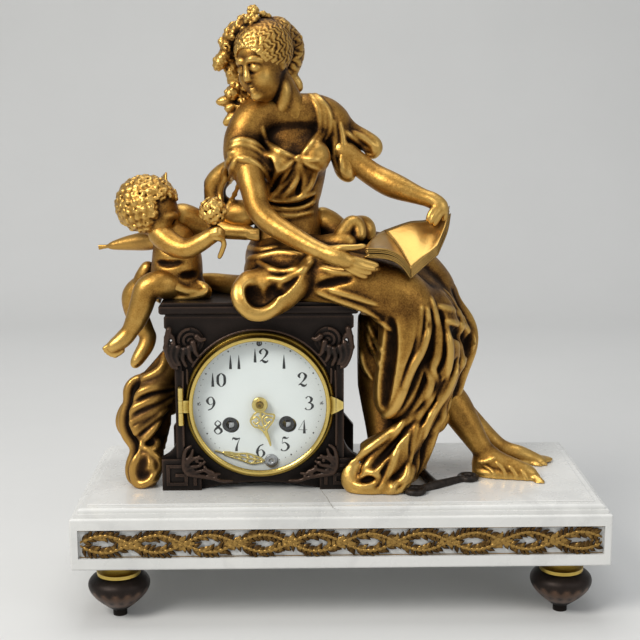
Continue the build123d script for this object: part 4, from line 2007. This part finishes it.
# Bare legs and sandalled feet that come out from under the cloth
with BuildPart() as lady_right_leg:
    for plane, length, low_r, high_r in bones(RIGHT_SHIN_SHARES) + bones(RIGHT_FOOT_SHARES):
        with Locations(plane):
            Cone(low_r, high_r, length, align=STANDING)
    for middle, radius in knuckles(RIGHT_SHIN_SHARES + RIGHT_FOOT_SHARES):
        with Locations(middle):
            Sphere(radius)
    with BuildSketch(level(SLAB_TOP)):
        Rectangle(PLINTH_W, PLINTH_D)
    extrude(amount=-GIRTH, mode=Mode.SUBTRACT)
    add(lady_skirt.part, mode=Mode.SUBTRACT)
lady_right_leg.part.label = "lady_right_leg"
export_step(lady_right_leg.part, "parts/lady_right_leg.step")

with BuildPart() as lady_left_leg:
    for plane, length, low_r, high_r in bones(LEFT_SHIN_SHARES) + bones(LEFT_FOOT_SHARES):
        with Locations(plane):
            Cone(low_r, high_r, length, align=STANDING)
    for middle, radius in knuckles(LEFT_SHIN_SHARES + LEFT_FOOT_SHARES):
        with Locations(middle):
            Sphere(radius)
    with BuildSketch(level(SLAB_TOP)):
        Rectangle(PLINTH_W, PLINTH_D)
    extrude(amount=-GIRTH, mode=Mode.SUBTRACT)
    add(lady_skirt.part, mode=Mode.SUBTRACT)
    add(lady_right_leg.part, mode=Mode.SUBTRACT)
lady_left_leg.part.label = "lady_left_leg"
export_step(lady_left_leg.part, "parts/lady_left_leg.step")

# Drapery that falls beside the case on the left
with BuildPart() as side_drape:
    for across, back, up, wide, deep in DRAPE_SHARES:
        with BuildSketch(Plane(origin=figure_point(across, back, up))):
            with BuildLine():
                Spline(*folded(wide * GIRTH, deep * GIRTH, DRAPE_FOLDS, DRAPE_FOLD_SHARE), periodic=True)
            make_face()
    loft()
    drape_edge_x = CASE_X - CASE_WAIST
    with BuildSketch(level(SLAB_TOP - OVERRUN)):
        with Locations((drape_edge_x + CASE_WAIST, side_mid_y)):
            Rectangle(2 * CASE_WAIST, CASE_D + OVERRUN)
    extrude(amount=CASE_H, mode=Mode.SUBTRACT)
    with BuildSketch(level(SLAB_TOP - OVERRUN)):
        with Locations((CASE_X, CASE_FRONT_Y + CASE_WALL - OVERRUN)):
            Rectangle(2 * CASE_FOOT_HALF + 2 * AIR, 2 * OVERRUN + 2 * AIR)
    extrude(amount=CASE_FOOT_H + CASE_FLARE_H + OVERRUN, mode=Mode.SUBTRACT)
side_drape.part.label = "side_drape"
export_step(side_drape.part, "parts/side_drape.step")

# Winged child on the left end of the cornice
with BuildPart() as cherub_torso:
    for plane, length, low_r, high_r in bones(CHILD_TORSO_SHARES):
        with Locations(plane):
            Cone(low_r, high_r, length, align=STANDING)
    for middle, radius in knuckles(CHILD_TORSO_SHARES):
        with Locations(middle):
            Sphere(radius)
    with BuildSketch(level(SEAT_Z)):
        with Locations((CASE_X, 0)):
            Rectangle(4 * FIGURE_REACH, 4 * FIGURE_REACH)
    extrude(amount=-GIRTH, mode=Mode.SUBTRACT)
cherub_torso.part.label = "cherub_torso"
export_step(cherub_torso.part, "parts/cherub_torso.step")

with BuildPart() as cherub_head:
    for plane, length, low_r, high_r in bones(CHILD_HEAD_SHARES):
        with Locations(plane):
            Cone(low_r, high_r, length, align=STANDING)
    for middle, radius in knuckles(CHILD_HEAD_SHARES):
        with Locations(middle):
            Sphere(radius)
    add(cherub_torso.part, mode=Mode.SUBTRACT)
cherub_head.part.label = "cherub_head"
export_step(cherub_head.part, "parts/cherub_head.step")

with BuildPart() as cherub_arms:
    for plane, length, low_r, high_r in bones(CHILD_NEAR_ARM_SHARES) + bones(CHILD_FAR_ARM_SHARES):
        with Locations(plane):
            Cone(low_r, high_r, length, align=STANDING)
    for middle, radius in knuckles(CHILD_NEAR_ARM_SHARES + CHILD_FAR_ARM_SHARES):
        with Locations(middle):
            Sphere(radius)
    add(cherub_torso.part, mode=Mode.SUBTRACT)
    add(cherub_head.part, mode=Mode.SUBTRACT)
    add(lady_skirt.part, mode=Mode.SUBTRACT)
    add(lady_right_arm.part, mode=Mode.SUBTRACT)
cherub_arms.part.label = "cherub_arms"
export_step(cherub_arms.part, "parts/cherub_arms.step")

with BuildPart() as cherub_legs:
    for plane, length, low_r, high_r in bones(CHILD_NEAR_LEG_SHARES) + bones(CHILD_FAR_LEG_SHARES):
        with Locations(plane):
            Cone(low_r, high_r, length, align=STANDING)
    for middle, radius in knuckles(CHILD_NEAR_LEG_SHARES + CHILD_FAR_LEG_SHARES):
        with Locations(middle):
            Sphere(radius)
    with BuildSketch(level(SLAB_TOP)):
        with Locations((CASE_X, (envelope_front_y + envelope_back_y) / 2)):
            Rectangle(2 * envelope_half, envelope_back_y - envelope_front_y)
    extrude(amount=SEAT_H, mode=Mode.SUBTRACT)
    add(cherub_torso.part, mode=Mode.SUBTRACT)
cherub_legs.part.label = "cherub_legs"
export_step(cherub_legs.part, "parts/cherub_legs.step")

with BuildPart() as cherub_wings:
    for root, tip, sizes in WING_SHARES:
        wing_root = figure_point(*root)
        wing_tip = figure_point(*tip)
        wing_along = (wing_tip - wing_root).normalized()
        wing_side = wing_along.cross(Vector(0, 1, 0)).normalized()
        for place, size in enumerate(sizes):
            wing_spot = wing_root + (wing_tip - wing_root) * (place / (len(sizes) - 1))
            with BuildSketch(Plane(origin=wing_spot, x_dir=wing_side, z_dir=wing_along)):
                Ellipse(size * GIRTH, WING_T * (size + 1) / 4)
        loft()
    add(cherub_torso.part, mode=Mode.SUBTRACT)
    add(cherub_head.part, mode=Mode.SUBTRACT)
    add(cherub_arms.part, mode=Mode.SUBTRACT)
cherub_wings.part.label = "cherub_wings"
export_step(cherub_wings.part, "parts/cherub_wings.step")

# Two-looped winding key lying on the slab
with BuildPart() as winding_key:
    with BuildSketch(Plane(origin=(KEY_X, KEY_Y, SLAB_TOP)).rotated((0, 0, KEY_ANGLE))):
        for side in (-1, 1):
            with Locations((side * KEY_BOW_SPAN / 2, 0)):
                Circle(KEY_BOW_R)
        with Locations((0, KEY_SHANK_L / 2)):
            Rectangle(2 * KEY_SHANK_R, KEY_SHANK_L)
        for side in (-1, 1):
            with Locations((side * KEY_BOW_SPAN / 2, 0)):
                Circle(KEY_BOW_HOLE_R, mode=Mode.SUBTRACT)
    extrude(amount=KEY_T)
    add(lady_skirt.part, mode=Mode.SUBTRACT)
winding_key.part.label = "winding_key"
export_step(winding_key.part, "parts/winding_key.step")
